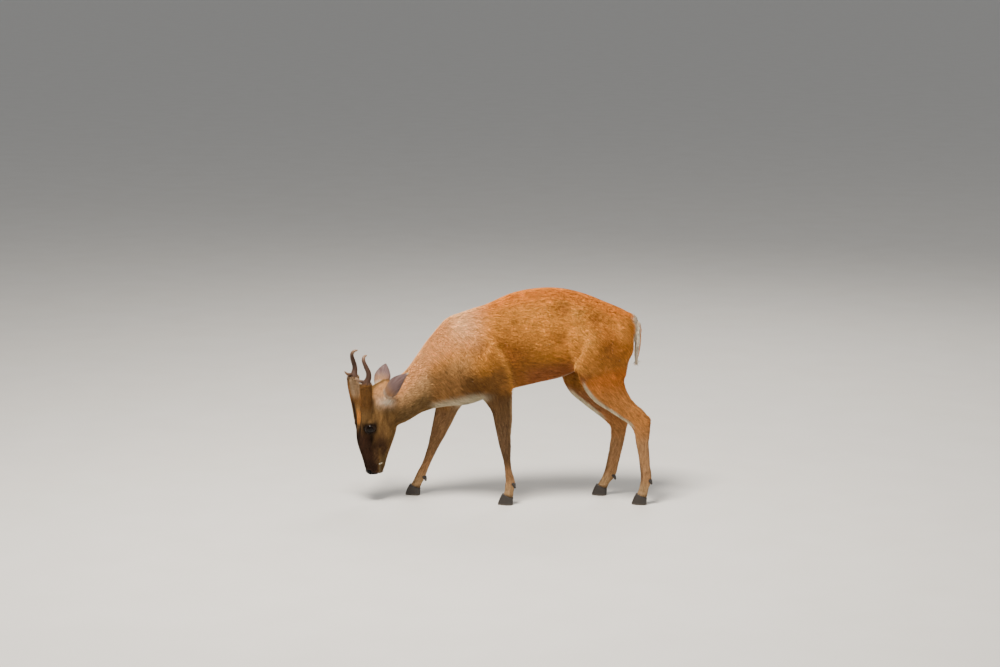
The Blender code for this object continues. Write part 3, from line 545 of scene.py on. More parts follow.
# Muscles' edges from the side: heights, places on the left side, and how far ahead they are on the right
UPPER_ARM = (
    (0.318, 0.345, 0.372, 0.400, 0.430, 0.462, 0.482),
    (0.0420, 0.0405, 0.0345, 0.0255, 0.0120, -0.0080, -0.0320),
    (0.110, 0.092, 0.062, 0.042, 0.024, 0.012, 0.010),
)
THIGH = ((0.377, 0.398, 0.440, 0.493), (0.2064, 0.2033, 0.2016, 0.1881), (0.052, 0.048, 0.038, 0.022))
BLADE = ((0.4218, 0.4517, 0.4740), (-0.0430, -0.0342, -0.0239), (0.026, 0.018, 0.011))
SHOULDER = ((0.330, 0.400, 0.500), (-0.118, -0.128, -0.135), (0.020, 0.012, 0.004))
HAMSTRING = ((0.262, 0.300, 0.338, 0.372), (0.3900, 0.3610, 0.3358, 0.3200), (0.062, 0.064, 0.060, 0.052))
GROOVES = ((BLADE, 0.0030, 0.0110), (SHOULDER, 0.0040, 0.018), (HAMSTRING, 0.0040, 0.0065))  # depth, width
FLANK_SPOTS = [  # x, z, reach, height
    (0.172, 0.552, 0.022, -0.0045),
    (0.212, 0.541, 0.022, 0.0055),
    (0.256, 0.524, 0.024, -0.0040),
    (-0.096, 0.518, 0.030, 0.0040),
    (-0.086, 0.372, 0.032, 0.0045),
    (-0.060, 0.452, 0.022, -0.0035),
    (0.040, 0.430, 0.026, -0.0030),
    (0.170, 0.470, 0.028, -0.0030),
    (0.238, 0.472, 0.034, 0.0040),
    (0.300, 0.455, 0.026, -0.0030),
    (0.335, 0.485, 0.026, 0.0030),
    (0.205, 0.385, 0.020, 0.0035),
    (0.020, 0.500, 0.040, -0.0020),
]


def behind_edge(points, edge):
    """How far behind a muscle's edge each point is, and 1 where the edge reaches."""
    heights, places, ahead = edge
    x, y, z = points.T
    line = np.interp(z, heights, places) - np.interp(z, heights, ahead) * (y > 0)
    low, high = heights[0], heights[-1]
    return x - line, between(z, low - 0.030, low + 0.015, high - 0.035, high + 0.020)


def muscles(points, normals):
    """How far the skin stands out or in over the muscles and bones of the trunk and legs."""
    facing = step(np.abs(normals[:, 1]), 0.15, 0.65) * (normals[:, 1] * points[:, 1] > 0)
    behind, reach = behind_edge(points, UPPER_ARM)
    rise = reach * 0.0085 * between(behind, -0.095, -0.014, -0.016, 0.010)
    rise -= reach * 0.0050 * between(behind, -0.010, 0.012, 0.014, 0.060)
    behind, reach = behind_edge(points, THIGH)
    rise += reach * 0.0070 * between(behind, -0.014, 0.014, 0.020, 0.100)
    rise -= reach * 0.0040 * between(behind, -0.060, -0.016, -0.012, 0.006)
    for edge, depth, width in GROOVES:
        behind, reach = behind_edge(points, edge)
        rise -= reach * depth * hump(behind, 0, width)
    return (rise + hollows(points)) * facing


def hollows(points):
    """How far the trunk's small hollows and bumps reach in and out."""
    x, _, z = points.T
    rise = np.zeros(len(points))
    for at_x, at_z, size, height in FLANK_SPOTS:
        rise += height * hump(x, at_x, size) * hump(z, at_z, size)
    return rise


def tendons(points, normals, owner):
    """The groove between bone and tendon down each side of the lower legs."""
    rise = np.zeros(len(points))
    levels, tall = 61, 0.006
    for foot in FEET:
        mine = np.isin(owner, [FLESH.index(f"{foot}_leg"), FLESH.index(f"{foot}_shank")])
        x, z = points[mine, 0], points[mine, 2]
        level = np.clip((z / tall).astype(int), 0, levels - 1)
        low, high = np.full(levels, 9.0), np.full(levels, -9.0)
        np.minimum.at(low, level, x)
        np.maximum.at(high, level, x)
        seen = low < 9
        heights = (np.arange(levels)[seen] + 0.5) * tall
        low, high = (np.interp(z, heights, edge[seen]) for edge in (low, high))
        share = (x - low) / np.maximum(high - low, 1e-4)
        rise[mine] = -0.0018 * hump(share, 0.64, 0.09) * between(z, 0.045, 0.060, 0.195, 0.235)
    return rise * step(np.abs(normals[:, 1]), 0.2, 0.7)


class Skin:
    """The skin's mesh with the coat's fields on its points."""

    def __init__(self):
        self.points, self.quads, self.triangles = skin_mesh()
        padded = np.concatenate([self.triangles, self.triangles[:, :1]], axis=1)
        self.faces = np.concatenate([self.quads, padded])
        self.net = Net(len(self.points), self.faces)
        self.owner = owners_of(self.points)
        self.on_head = self.owner == HEAD
        self.points = np.where(self.on_head[:, None], self.net.relaxed(self.points, 4), self.points)
        along, dorsal, _ = in_head(self.points)
        cheek = self.on_head * hump(along, 0.054, 0.024) * step(dorsal, 0.012, 0.000)
        self.points = self.points + cheek[:, None] * (self.net.smoothed(self.points, 120) - self.points)
        self.normals = self.soft_normals()

    def soft_normals(self):
        return unit(self.net.smoothed(normals_of(self.points, self.faces), 2))

    def shape_body(self):
        """Muscles and tendons, in the coat's outline as well as in the skin."""
        rise = muscles(self.points, self.normals) * ~self.on_head
        rise += tendons(self.points, self.normals, self.owner)
        self.points = self.points + self.normals * self.net.smoothed(rise, 3)[:, None]
        self.outline = self.points
        self.normals = self.soft_normals()

    def draw_in(self, depth):
        self.points = self.points - self.normals * depth[:, None]

    def shape_face(self):
        some, normals = self.points[self.on_head], self.normals[self.on_head]
        some = some + normals * face_forms(some, normals)[:, None]
        for name, side in SIDES.items():
            some = lids(some, name, side)
        self.points[self.on_head] = some


# The coat's fields: how deep and long it is, how it lies, and its colours

COATS = {  # depth, tuft length, tuft width, spacing
    "torso": (0.0030, 0.0140, 0.0016, 0.00250),
    "neck": (0.0028, 0.0125, 0.0015, 0.0023),
    "head": (0.0012, 0.0058, 0.0010, 0.00165),
    "tail": (0.0016, 0.0180, 0.0018, 0.0014),
    "leg": (0.0022, 0.0105, 0.0015, 0.0023),
    "shank": (0.0012, 0.0072, 0.0012, 0.0018),
}
WORDS = [node.split("_")[-1] for node in FLESH]  # each node's row in COATS
LIE = {  # the way the hair lies
    "torso": (1.0, 0.0, -0.30),
    "neck": (0.85, 0.0, 0.30),
    "head": tuple(-ALONG - 0.20 * DORSAL),
    "tail": (0.08, 0.0, -1.0),
}

GOLD = linear("e2963f")
# painted highlight, laid on the trunk's bumps and along the upper arm's ridge
GOLD_HIGHLIGHT = linear("f6ac50")
SADDLE = linear("e07c2a")
# painted shade, laid in the trunk's hollows and behind the upper arm's edge
SADDLE_SHADE = linear("8f5424")
HAUNCH = linear("c4732f")
# painted shade, on the mid flank and in the fold in front of the thigh
FLANK_SHADE = linear("8c5829")
# painted shade, darkening the lower flank
LOW_SIDE_SHADE = linear("a06c38")
BELLY_RED = linear("9a5a33")
WITHERS = linear("eeaa6c")
# painted highlight on the top of the shoulder blade
SHOULDER_HIGHLIGHT = linear("ffc890")
TAN = linear("e0a066")
FAWN = linear("b48a5c")
OLIVE = linear("846640")
# partly the chest's own darker brown, partly painted shade under the neck and body
CHEST_BROWN_AND_SHADE = linear("5a3c1e")
CREAM = linear("d3c7a8")
TAIL_WHITE = linear("ded3bc")
LEG_TOP = linear("6b4e30")
LEG_MIDDLE = linear("6e533a")
GASKIN = linear("c58344")
INNER_THIGH = linear("9d6a48")
SHANK_TAN = linear("b0845a")
SHANK_DARK = linear("45311f")
PASTERN = linear("b08d64")
CORONET = linear("5a4530")
FACE_OLIVE = linear("7c5c35")
FACE_BROWN = linear("3d271a")
FACE_BLACK = linear("150d0a")
FACE_ORANGE = linear("c07a34")
PEDICEL_BROWN = linear("6c4a26")
# painted highlight, up the inner side of each pedicel
PEDICEL_HIGHLIGHT = linear("a08668")
CHIN_BROWN = linear("6f5837")
EAR_WHITE = linear("e0d2bb")
BARE_BLACK = linear("0d0a09")
EAR_BACK = linear("6a5350")
EAR_BASE = linear("a57c58")
EAR_STREAK = linear("a08b86")
# painted shade in the ear's cup
EAR_CUP_SHADE = linear("5c4341")


def blended(base, *layers):
    """Colours laid one over another; a layer is a colour and how much of it shows at each point."""
    colour = np.broadcast_to(base, (len(layers[0][1]), 3)).copy()
    for tint, share in layers:
        share = np.clip(share, 0, 1)[:, None]
        colour = colour * (1 - share) + np.asarray(tint) * share
    return colour


def neck_share(points):
    """How far up the neck a point is, from 0 at the throat to 1 at the crest."""
    places = (-0.31, -0.26, -0.20, -0.13, -0.05)
    crest = np.interp(points[:, 0], places, (0.335, 0.375, 0.455, 0.530, 0.560))
    throat = np.interp(points[:, 0], places, (0.205, 0.228, 0.258, 0.270, 0.290))
    return (points[:, 2] - throat) / (crest - throat)


def markings(points, normals, weights):
    """The coat's colour at each point; weights say how much each part of the body owns it."""
    parts = {
        "torso": torso_markings(points, normals),
        "neck": neck_markings(points, normals),
        "leg": leg_markings(points, normals),
        "shank": shank_markings(points, normals),
        "tail": blended(TAIL_WHITE, (SADDLE, 0.85 * step(normals[:, 0], 0.72, 0.95))),
        "head": head_markings(points, normals),
    }
    return sum(parts[word] * weights[word][:, None] for word in parts)


def torso_markings(points, normals):
    x, y, z = points.T
    wide = np.abs(y)
    upward = normals[:, 2]
    up = neck_share(points)
    behind, edge = behind_edge(points, UPPER_ARM)
    relief = hollows(points) / 0.004
    chest = (0.50 + 0.40 * step(x, -0.13, -0.07)) * step(x, 0.045, -0.025) * step(z, 0.425, 0.350)
    return blended(
        GOLD,
        (SADDLE, 0.75 * step(upward, 0.45, 0.95)),
        (HAUNCH, 0.60 * step(x, 0.20, 0.30) * step(upward, 0.8, 0.3)),
        # painted shade on the lower flank and the side of the belly
        (LOW_SIDE_SHADE, 0.80 * step(z, 0.45, 0.37) * step(x, -0.06, 0.00)),
        # painted shade over the mid flank and in the fold in front of the thigh
        (FLANK_SHADE, 0.85 * hump(x, 0.055, 0.080) * hump(z, 0.430, 0.050)),
        (FLANK_SHADE, 0.80 * hump(x, 0.290, 0.052) * hump(z, 0.435, 0.042)),
        # painted shade in the trunk's hollows and painted highlight on its bumps, from the relief's height
        (SADDLE_SHADE, 0.75 * np.clip(-relief, 0, 1)),
        (GOLD_HIGHLIGHT, 0.60 * np.clip(relief, 0, 1) * step(x, 0.0, 0.05)),
        (WITHERS, 0.90 * step(x, -0.015, -0.09) * step(up, 0.45, 0.75)),
        # painted highlight: a pale spot on the top of the shoulder blade
        (SHOULDER_HIGHLIGHT, 0.75 * hump(x, -0.108, 0.034) * hump(z, 0.505, 0.032)),
        (FAWN, 0.70 * step(x, -0.035, -0.11) * step(up, 0.66, 0.46)),
        # darker chest: partly its own brown, partly painted shade under the neck and body
        (CHEST_BROWN_AND_SHADE, chest),
        # painted shade behind the upper arm's muscle edge, and painted highlight along the ridge in front of it
        (SADDLE_SHADE, 0.60 * edge * hump(behind, 0.014, 0.012)),
        (GOLD_HIGHLIGHT, 0.45 * edge * hump(behind, -0.010, 0.008)),
        (BELLY_RED, 0.8 * step(upward, -0.15, -0.60) * step(x, 0.04, 0.09)),
        (CREAM, 0.80 * step(upward, 0.05, -0.45) * step(up, 0.16, 0.06) * step(x, 0.00, -0.04)),
        (TAIL_WHITE, 0.85 * step(x, 0.357, 0.368) * step(wide, 0.030, 0.020)),
        (CREAM, 0.85 * step(upward, -0.80, -0.95) * step(x, 0.13, 0.19) * step(wide, 0.05, 0.03)),
    )


def neck_markings(points, normals):
    up = neck_share(points)
    return blended(
        FAWN,
        (TAN, step(up, 0.45, 0.75)),
        (OLIVE, step(up, 0.46, 0.20)),
        (CREAM, 0.45 * step(normals[:, 2], -0.35, -0.85) * step(points[:, 0], -0.18, -0.11)),
    )


def leg_markings(points, normals):
    x, y, z = points.T
    inner = step(-normals[:, 1] * np.sign(y), 0.10, 0.70)
    fore_leg = blended(
        LEG_MIDDLE,
        (LEG_TOP, step(z, 0.20, 0.29)),
        # darker elbow: partly the leg's own brown, partly painted shade under the body
        (CHEST_BROWN_AND_SHADE, 0.8 * step(z, 0.28, 0.34)),
        (SHANK_TAN, 0.50 * inner),
        (PASTERN, 0.55 * step(normals[:, 0], 0.45, 0.85) * step(z, 0.16, 0.21)),
    )
    ahead = -0.73 * normals[:, 0] - 0.68 * normals[:, 2]
    edge = np.interp(z, (0.25, 0.40), (0.28, 0.72))
    hind_leg = blended(
        GASKIN,
        (HAUNCH, step(z, 0.29, 0.37)),
        (INNER_THIGH, 0.85 * inner * step(z, 0.20, 0.26)),
        (SHANK_TAN, 0.6 * step(z, 0.25, 0.18)),
        (CREAM, 0.92 * step(ahead, edge, edge + 0.20) * between(z, 0.215, 0.235, 0.385, 0.410)),
    )
    return np.where(x[:, None] < 0.12, fore_leg, hind_leg)


def shank_markings(points, normals):
    x, y, z = points.T
    fore = step(x, 0.13, 0.10)
    inner = step(-normals[:, 1] * np.sign(y), 0.10, 0.70)
    return blended(
        SHANK_TAN,
        (SHANK_DARK, 0.85 * fore * (1 - 0.5 * inner) * step(z, 0.050, 0.140)),
        (SHANK_DARK, 0.55 * (1 - fore) * step(normals[:, 0], -0.25, -0.80) * step(z, 0.15, 0.10)),
        (PASTERN, step(z, 0.080, 0.048)),
        (CORONET, 0.75 * step(z, 0.040, 0.026)),
    )


def head_markings(points, normals):
    along, dorsal, lateral = in_head(points)
    wide = np.abs(lateral)
    off = past_ridge(along, lateral)
    front = normals @ DORSAL
    eye = nearest(points, EYES.values())
    ear = nearest(points, [EARS[name]["root"] for name in SIDES])
    gap, lips = mouth_gap(along, dorsal, lateral)
    pedicel = step(along, -0.045, -0.070) * step(dorsal, 0.014, 0.026)
    crest = pedicel * step(along, -0.125, -0.105) * hump(off, -0.002, 0.0045)
    highlight_streak = pedicel * step(along, -0.070, -0.095) * hump(off, -0.0120, 0.0060)
    mottle = np.sin(420 * dorsal + 2 * np.sin(310 * along)) * np.cos(260 * along + 330 * lateral)
    mottle = 0.5 + 0.5 * mottle
    under_ear = hump(along, -0.074, 0.016) * hump(dorsal, -0.020, 0.024) * step(wide, 0.016, 0.026)
    forehead = step(off, -0.0095, -0.0130) * between(along, -0.052, -0.036, -0.018, -0.004)
    # the crease above the mouth's corner, which is darkened with painted shade below
    wedge = dorsal - np.interp(along, (0.050, 0.078), (-0.001, 0.014))
    corner = hump(wedge, 0, 0.0030) * step(wide, 0.012, 0.016)
    gland = hump(along, GLAND[0], 0.019) * hump(dorsal, GLAND[1], 0.0065) * step(wide, 0.015, 0.020)
    return blended(
        FACE_OLIVE,
        (FAWN, 0.35 * step(front, -0.35, -0.80) * step(along, 0.09, 0.05)),
        (FACE_BROWN, step(along, -0.030, 0.030) * step(front, -0.25, 0.45)),
        (PEDICEL_BROWN, pedicel),
        (FACE_ORANGE, 0.30 * crest),
        # painted highlight: a pale grey streak up the inner side of each pedicel
        (PEDICEL_HIGHLIGHT, 0.80 * highlight_streak),
        (TAN, 0.55 * step(ear, 0.052, 0.034) * (1 - pedicel)),
        (EAR_WHITE, (0.65 + 0.45 * mottle) * under_ear * (1 - pedicel)),
        (FACE_ORANGE, 0.85 * forehead * step(front, 0.3, 0.7)),
        (FACE_BROWN, 0.90 * step(along, 0.020, 0.055) * step(front, -0.55, 0.05)),
        (FACE_BROWN, 0.55 * step(along, 0.070, 0.100) * step(gap, 0.000, 0.006)),
        (FACE_BLACK, 0.95 * hump(off, -0.0050, 0.0048) * between(along, -0.095, -0.055, 0.030, 0.060)),
        (FACE_BLACK, 0.50 * step(along, 0.080, 0.120) * step(front, -0.6, 0.2)),
        # painted shade in the crease above the mouth's corner
        (FACE_BLACK, 0.55 * corner * between(along, 0.048, 0.056, 0.076, 0.084)),
        (FAWN, 0.22 * mottle * between(along, 0.045, 0.070, 0.095, 0.115) * step(front, 0.35, -0.05)),
        (FACE_BLACK, 0.55 * step(eye, 0.0290, 0.0180)),
        (FACE_BLACK, 0.92 * step(eye, 0.0205, 0.0165)),
        (FACE_BLACK, 0.85 * gland),
        (CREAM, 0.25 * step(front, -0.55, -0.95) * step(along, -0.02, 0.03)),
        (CHIN_BROWN, 0.75 * step(gap, -0.002, -0.008) * step(along, 0.070, 0.100)),
        (CREAM, 0.16 * step(along, 0.098, 0.112) * hump(gap, -0.0045, 0.0028)),
        (BARE_BLACK, bare_nose(points)),
        (BARE_BLACK, 0.9 * lips * hump(gap, 0, 0.0018)),
    )


def bare_nose(points):
    """The hairless pad round the nostrils."""
    along, dorsal, lateral = in_head(points)
    gap, _ = mouth_gap(along, dorsal, lateral)
    edge = 0.1215 + 0.30 * np.clip(0.012 - dorsal, 0, 0.02)
    edge += 6.0 * np.clip(np.abs(lateral) - 0.008, 0, 0.02) ** 1.5
    return step(along, edge, edge + 0.003) * step(gap, 0.001, 0.003)


def bare_skin(points):
    """Where the skin has no hair: nose, lips' edges and lids."""
    gap, lips = mouth_gap(*in_head(points))
    eye = nearest(points, EYES.values())
    return np.max([bare_nose(points), lips * hump(gap, 0, 0.0012), step(eye, 0.0163, 0.0155)], axis=0)


# Materials


class Link:
    """A value in a material; Python's operators on it add Math nodes."""

    def __init__(self, finish, socket):
        self.finish, self.socket = finish, socket

    def maths(self, operation, *values):
        return self.finish.node("ShaderNodeMath", {"operation": operation}, dict(enumerate(values)))

    def __add__(self, other):
        return self.maths("ADD", self, other)

    def __radd__(self, other):
        return self.maths("ADD", other, self)

    def __sub__(self, other):
        return self.maths("SUBTRACT", self, other)

    def __rsub__(self, other):
        return self.maths("SUBTRACT", other, self)

    def __mul__(self, other):
        return self.maths("MULTIPLY", self, other)

    def __rmul__(self, other):
        return self.maths("MULTIPLY", other, self)

    def __truediv__(self, other):
        return self.maths("DIVIDE", self, other)

    def __pow__(self, other):
        return self.maths("POWER", self, other)

    def clipped(self):
        return self.maths("MINIMUM", self.maths("MAXIMUM", self, 0.0), 1.0)


class Finish:
    """A material, built from its shader back."""

    def __init__(self, name, **constants):
        self.material = bpy.data.materials.new(name)
        self.material.use_nodes = True
        self.tree = self.material.node_tree
        self.shader = self.tree.nodes["Principled BSDF"]
        for socket, value in constants.items():
            self.shader.inputs[socket.replace("_", " ").title().replace("Ior", "IOR")].default_value = value

    def node(self, kind, settings, values, out=0):
        """A node of that kind, with its settings made first, then its sockets' values or links."""
        made = self.tree.nodes.new(kind)
        for key, value in settings.items():
            setattr(made, key, value)
        for key, value in values.items():
            self.feed(made.inputs[key], value)
        return Link(self, made.outputs[out])

    def feed(self, socket, value):
        if isinstance(value, Link):
            self.tree.links.new(value.socket, socket)
        elif isinstance(value, (tuple, list, np.ndarray)):
            value = tuple(float(part) for part in value)
            opaque = len(socket.default_value) == 4 and len(value) == 3
            socket.default_value = (*value, 1.0) if opaque else value
        else:
            socket.default_value = value

    def give(self, name, value):
        self.feed(self.shader.inputs[name], value)

    def attribute(self, name, out="Fac"):
        return self.node("ShaderNodeAttribute", {"attribute_name": name}, {}, out)

    def place(self):
        return self.node("ShaderNodeTexCoord", {}, {}, "Object")

    def noise(self, vector, scale, detail=2.0):
        values = {"Vector": vector, "Scale": scale, "Detail": detail}
        return self.node("ShaderNodeTexNoise", {}, values, "Fac")

    def strands(self, vector, scales, detail=2.0):
        """Noise with a scale of its own along each axis."""
        return self.noise(self.vector("MULTIPLY", vector, scales), 1.0, detail)

    def vector(self, operation, first, second):
        key = "Scale" if operation == "SCALE" else 1
        return self.node("ShaderNodeVectorMath", {"operation": operation}, {0: first, key: second})

    def dot(self, first, second):
        settings = {"operation": "DOT_PRODUCT"}
        return self.node("ShaderNodeVectorMath", settings, {0: first, 1: second}, "Value")

    def mix(self, share, first, second):
        settings = {"data_type": "RGBA", "blend_type": "MIX", "clamp_factor": True}
        return self.node("ShaderNodeMix", settings, {0: share, 6: first, 7: second}, 2)

    def bump(self, height, distance, strength):
        values = {"Height": height, "Distance": distance, "Strength": strength}
        self.give("Normal", self.node("ShaderNodeBump", {}, values))


def skin_finish():
    """Short hair lying flat, in fine strands, and black, pebbled skin where there is none."""
    finish = Finish("short_coat", roughness=0.80, specular_ior_level=0.12)
    hair = finish.attribute("hair", "Vector")
    strands = finish.strands(hair, (1400.0, 130.0, 1.0), 3.0)
    locks = finish.strands(hair, (330.0, 55.0, 1.0))
    cloud = finish.noise(finish.place(), 28.0, 3.0)
    bare = finish.attribute("bare")
    values = {"Vector": finish.place(), "Scale": 900.0}
    pebbles = finish.node("ShaderNodeTexVoronoi", {}, values, "Distance")
    value = 0.62 + 0.26 * strands + 0.18 * locks + 0.14 * cloud
    finish.give("Base Color", finish.vector("SCALE", finish.attribute("marks", "Color"), value))
    finish.give("Roughness", 0.80 - 0.38 * bare)
    height = (strands * 0.5 + locks) * (1 - bare) + pebbles * bare * 0.8
    finish.bump(height, 0.0007, 0.7)
    return finish.material


def tuft_finish():
    """Tufts of hair, darker at the root and paler at the tip, each a little unlike the next."""
    finish = Finish("hair", roughness=0.70, specular_ior_level=0.08)
    hair = finish.attribute("hair", "Vector")
    streaks = ((finish.strands(hair, (210.0, 42.0, 1.0), 3.0) - 0.5) * 2.4 + 0.5).clipped()
    value = (0.74 + 0.32 * finish.attribute("tip")) * finish.attribute("shade") * (0.68 + 0.62 * streaks)
    finish.give("Base Color", finish.vector("SCALE", finish.attribute("marks", "Color"), value))
    return finish.material


def eye_finish(name, side):
    """A near-black iris round a long dark pupil, under a wet front."""
    finish = Finish(f"{name}_eye_wet", roughness=0.05, specular_ior_level=0.12)
    _, length, height = eye_axes(side)
    offset = finish.vector("SUBTRACT", finish.place(), EYES[name])
    u, w = finish.dot(offset, length), finish.dot(offset, height)
    pupil = ((u / 0.0062) ** 2 + (w / 0.0036) ** 2).clipped()
    rim = (((u / 0.0118) ** 2 + (w / 0.0105) ** 2) ** 3).clipped()
    fibres = finish.noise(finish.place(), 700.0, 2.0)
    iris = finish.mix(fibres, linear("140a05"), linear("0b0603"))
    colour = finish.mix(pupil ** 4, linear("040302"), iris)
    finish.give("Base Color", finish.mix(rim, colour, linear("080504")))
    return finish.material


def horn_finish():
    """Bare antler: brown with paler ridges, palest at the worn tips."""
    finish = Finish("antler", specular_ior_level=0.4)
    grain = finish.strands(finish.place(), (420.0, 420.0, 60.0), 3.0)
    blotch = finish.noise(finish.place(), 120.0, 2.0)
    worn = finish.attribute("worn")
    brown = finish.mix(grain, linear("24140b"), linear("4e311e"))
    brown = finish.mix(blotch * 0.5, brown, linear("46291a"))
    finish.give("Base Color", finish.mix(worn, brown, linear("8f6e53")))
    finish.give("Roughness", 0.66 - 0.22 * worn)
    finish.bump(grain + blotch * 0.4, 0.0006, 0.8)
    return finish.material


def hoof_finish():
    """Dark horn with growth rings and a scuffed edge."""
    finish = Finish("hoof", specular_ior_level=0.45)
    height = finish.node("ShaderNodeSeparateXYZ", {}, {0: finish.place()}, "Z")
    rings = finish.strands(finish.place(), (30.0, 30.0, 620.0))
    scuff = finish.noise(finish.place(), 260.0, 3.0)
    edge = (1 - height / 0.006).clipped() * scuff
    dark = finish.mix(rings, linear("1d1916"), linear("352d26"))
    finish.give("Base Color", finish.mix(edge, dark, linear("6b6054")))
    finish.give("Roughness", 0.38 + 0.25 * scuff)
    finish.bump(rings + 0.5 * scuff, 0.0004, 0.7)
    return finish.material


def tusk_finish():
    """Ivory with a little stain."""
    finish = Finish("tusk", roughness=0.28, specular_ior_level=0.5, coat_weight=0.3, coat_roughness=0.1)
    stain = finish.noise(finish.place(), 300.0, 2.0)
    finish.give("Base Color", finish.mix(stain, linear("998c70"), linear("7d6d4e")))
    return finish.material


# Fields on meshes


def add_field(thing, name, values, kind="FLOAT"):
    """A value at each point, for the material to read."""
    field = thing.data.attributes.new(name, kind, "POINT")
    if kind == "FLOAT":
        field.data.foreach_set("value", np.ascontiguousarray(values, np.float32))
    elif kind == "FLOAT_VECTOR":
        field.data.foreach_set("vector", np.ascontiguousarray(values, np.float32).ravel())
    else:
        opaque = np.concatenate([values, np.ones((len(values), 1))], axis=1)
        field.data.foreach_set("color", np.ascontiguousarray(opaque, np.float32).ravel())


class Unwrap:
    """Each part of the skin rolled off its own long axis, and the sheets laid side by side on a square."""

    MARGIN = 0.012

    def __init__(self, parts):
        self.axes = []
        sizes = []
        for points in parts:
            centre = points.mean(axis=0)
            _, _, axes = np.linalg.svd(points[:: max(len(points) // 4000, 1)] - centre, full_matrices=False)
            along = (points - centre) @ axes[0]
            round_it = np.linalg.norm((points - centre) - along[:, None] * axes[0], axis=1)
            self.axes.append((centre, axes, along.min(), along.max()))
            sizes.append((2 * math.pi * np.mean(round_it), np.ptp(along)))
        self.tiles = self.laid_out(np.array(sizes))

    def laid_out(self, sizes):
        """Shelves of sheets, at the largest scale that fits the square."""
        order = np.argsort(-sizes[:, 1])
        scale = 1.4 / math.sqrt((sizes[:, 0] * sizes[:, 1]).sum())
        while True:
            tiles, left, bottom, shelf = {}, self.MARGIN, self.MARGIN, 0.0
            for index in order:
                wide, tall = sizes[index] * scale
                if left + wide + self.MARGIN > 1:
                    left, bottom, shelf = self.MARGIN, bottom + shelf + self.MARGIN, 0.0
                tiles[index] = (left, bottom, wide, tall)
                left += wide + self.MARGIN
                shelf = max(shelf, tall)
            if bottom + shelf + self.MARGIN <= 1 and all(t[0] + t[2] <= 1 for t in tiles.values()):
                return tiles
            scale *= 0.97

    def rolled(self, points, owner):
        """Turns round the axis, from 0 to 1, and the distance along it, for points of one part each."""
        turn, run = np.zeros(len(points)), np.zeros(len(points))
        for index, (centre, axes, low, high) in enumerate(self.axes):
            mine = owner == index
            offset = points[mine] - centre
            turn[mine] = np.arctan2(offset @ axes[2], offset @ axes[1]) / (2 * math.pi) + 0.5
            run[mine] = (offset @ axes[0] - low) / (high - low)
        return turn, run

    def tiles_of(self, owner):
        return np.array([self.tiles[index] for index in range(len(self.axes))])[owner]

    def on_sheet(self, turn, run, owner):
        left, bottom, wide, tall = self.tiles_of(owner).T
        return np.stack([left + turn * wide, bottom + np.clip(run, 0, 1) * tall], axis=1)

    def hair(self, turn, run, owner):
        """Distances round the part and along it, for the hair's streaks."""
        _, _, wide, tall = self.tiles_of(owner).T
        return np.stack([turn * wide, run * tall, np.zeros(len(run))], axis=1)


def face_map(unwrap, points, faces, owner):
    """Where each face's corners lie on the unwrap, with no face torn across a sheet's edge."""
    size = faces.shape[1]
    mine = owner[faces[:, 0]]
    turn, run = unwrap.rolled(points[faces.ravel()], np.repeat(mine, size))
    turn = turn.reshape(-1, size)
    turn = turn - np.round(turn - turn[:, :1])
    over = np.maximum(turn.max(axis=1, keepdims=True) - 1.0, 0)
    under = np.minimum(turn.min(axis=1, keepdims=True), 0)
    turn = turn - over - under
    return unwrap.on_sheet(turn.ravel(), run, np.repeat(mine, size))


def give_map(thing, corners):
    layer = thing.data.uv_layers.new(name="OFBake")
    layer.uv.foreach_set("vector", np.ascontiguousarray(corners, np.float32).ravel())


def dress(thing, points, face_sets, owner, unwrap, colour, bare, hair_scale=1.0):
    """Gives a skin its unwrap, and the fields that its material reads."""
    hair = hair_scale * unwrap.hair(*unwrap.rolled(points, owner), owner)
    add_field(thing, "marks", colour, "FLOAT_COLOR")
    add_field(thing, "bare", bare)
    add_field(thing, "hair", hair, "FLOAT_VECTOR")
    give_map(thing, np.concatenate([face_map(unwrap, points, faces, owner) for faces in face_sets]))


# The coat


class Roots:
    """Where tufts grow, and how."""

    def __init__(self, **fields):
        vars(self).update(fields)

    def some(self, chosen):
        return Roots(**{name: values[chosen] for name, values in vars(self).items()})

    def __len__(self):
        return len(self.place)


def locks_of(place, lie):
    """Which small lock each tuft belongs to: locks are a few tufts wide and long along the hair."""
    centres = place[rng.permutation(len(place))[: len(place) // LOCK_TUFTS + 1]]
    tree = tree_of(centres)
    near = np.array([[index for _, index, _ in tree.find_n(point, 10)] for point in place])
    offset = centres[near] - place[:, None]
    run = np.abs(np.sum(offset * lie[:, None], axis=2))
    across = np.sqrt(np.maximum(np.sum(offset**2, axis=2) - run**2, 0))
    return near[np.arange(len(place)), np.argmin(across + 0.22 * run, axis=1)]


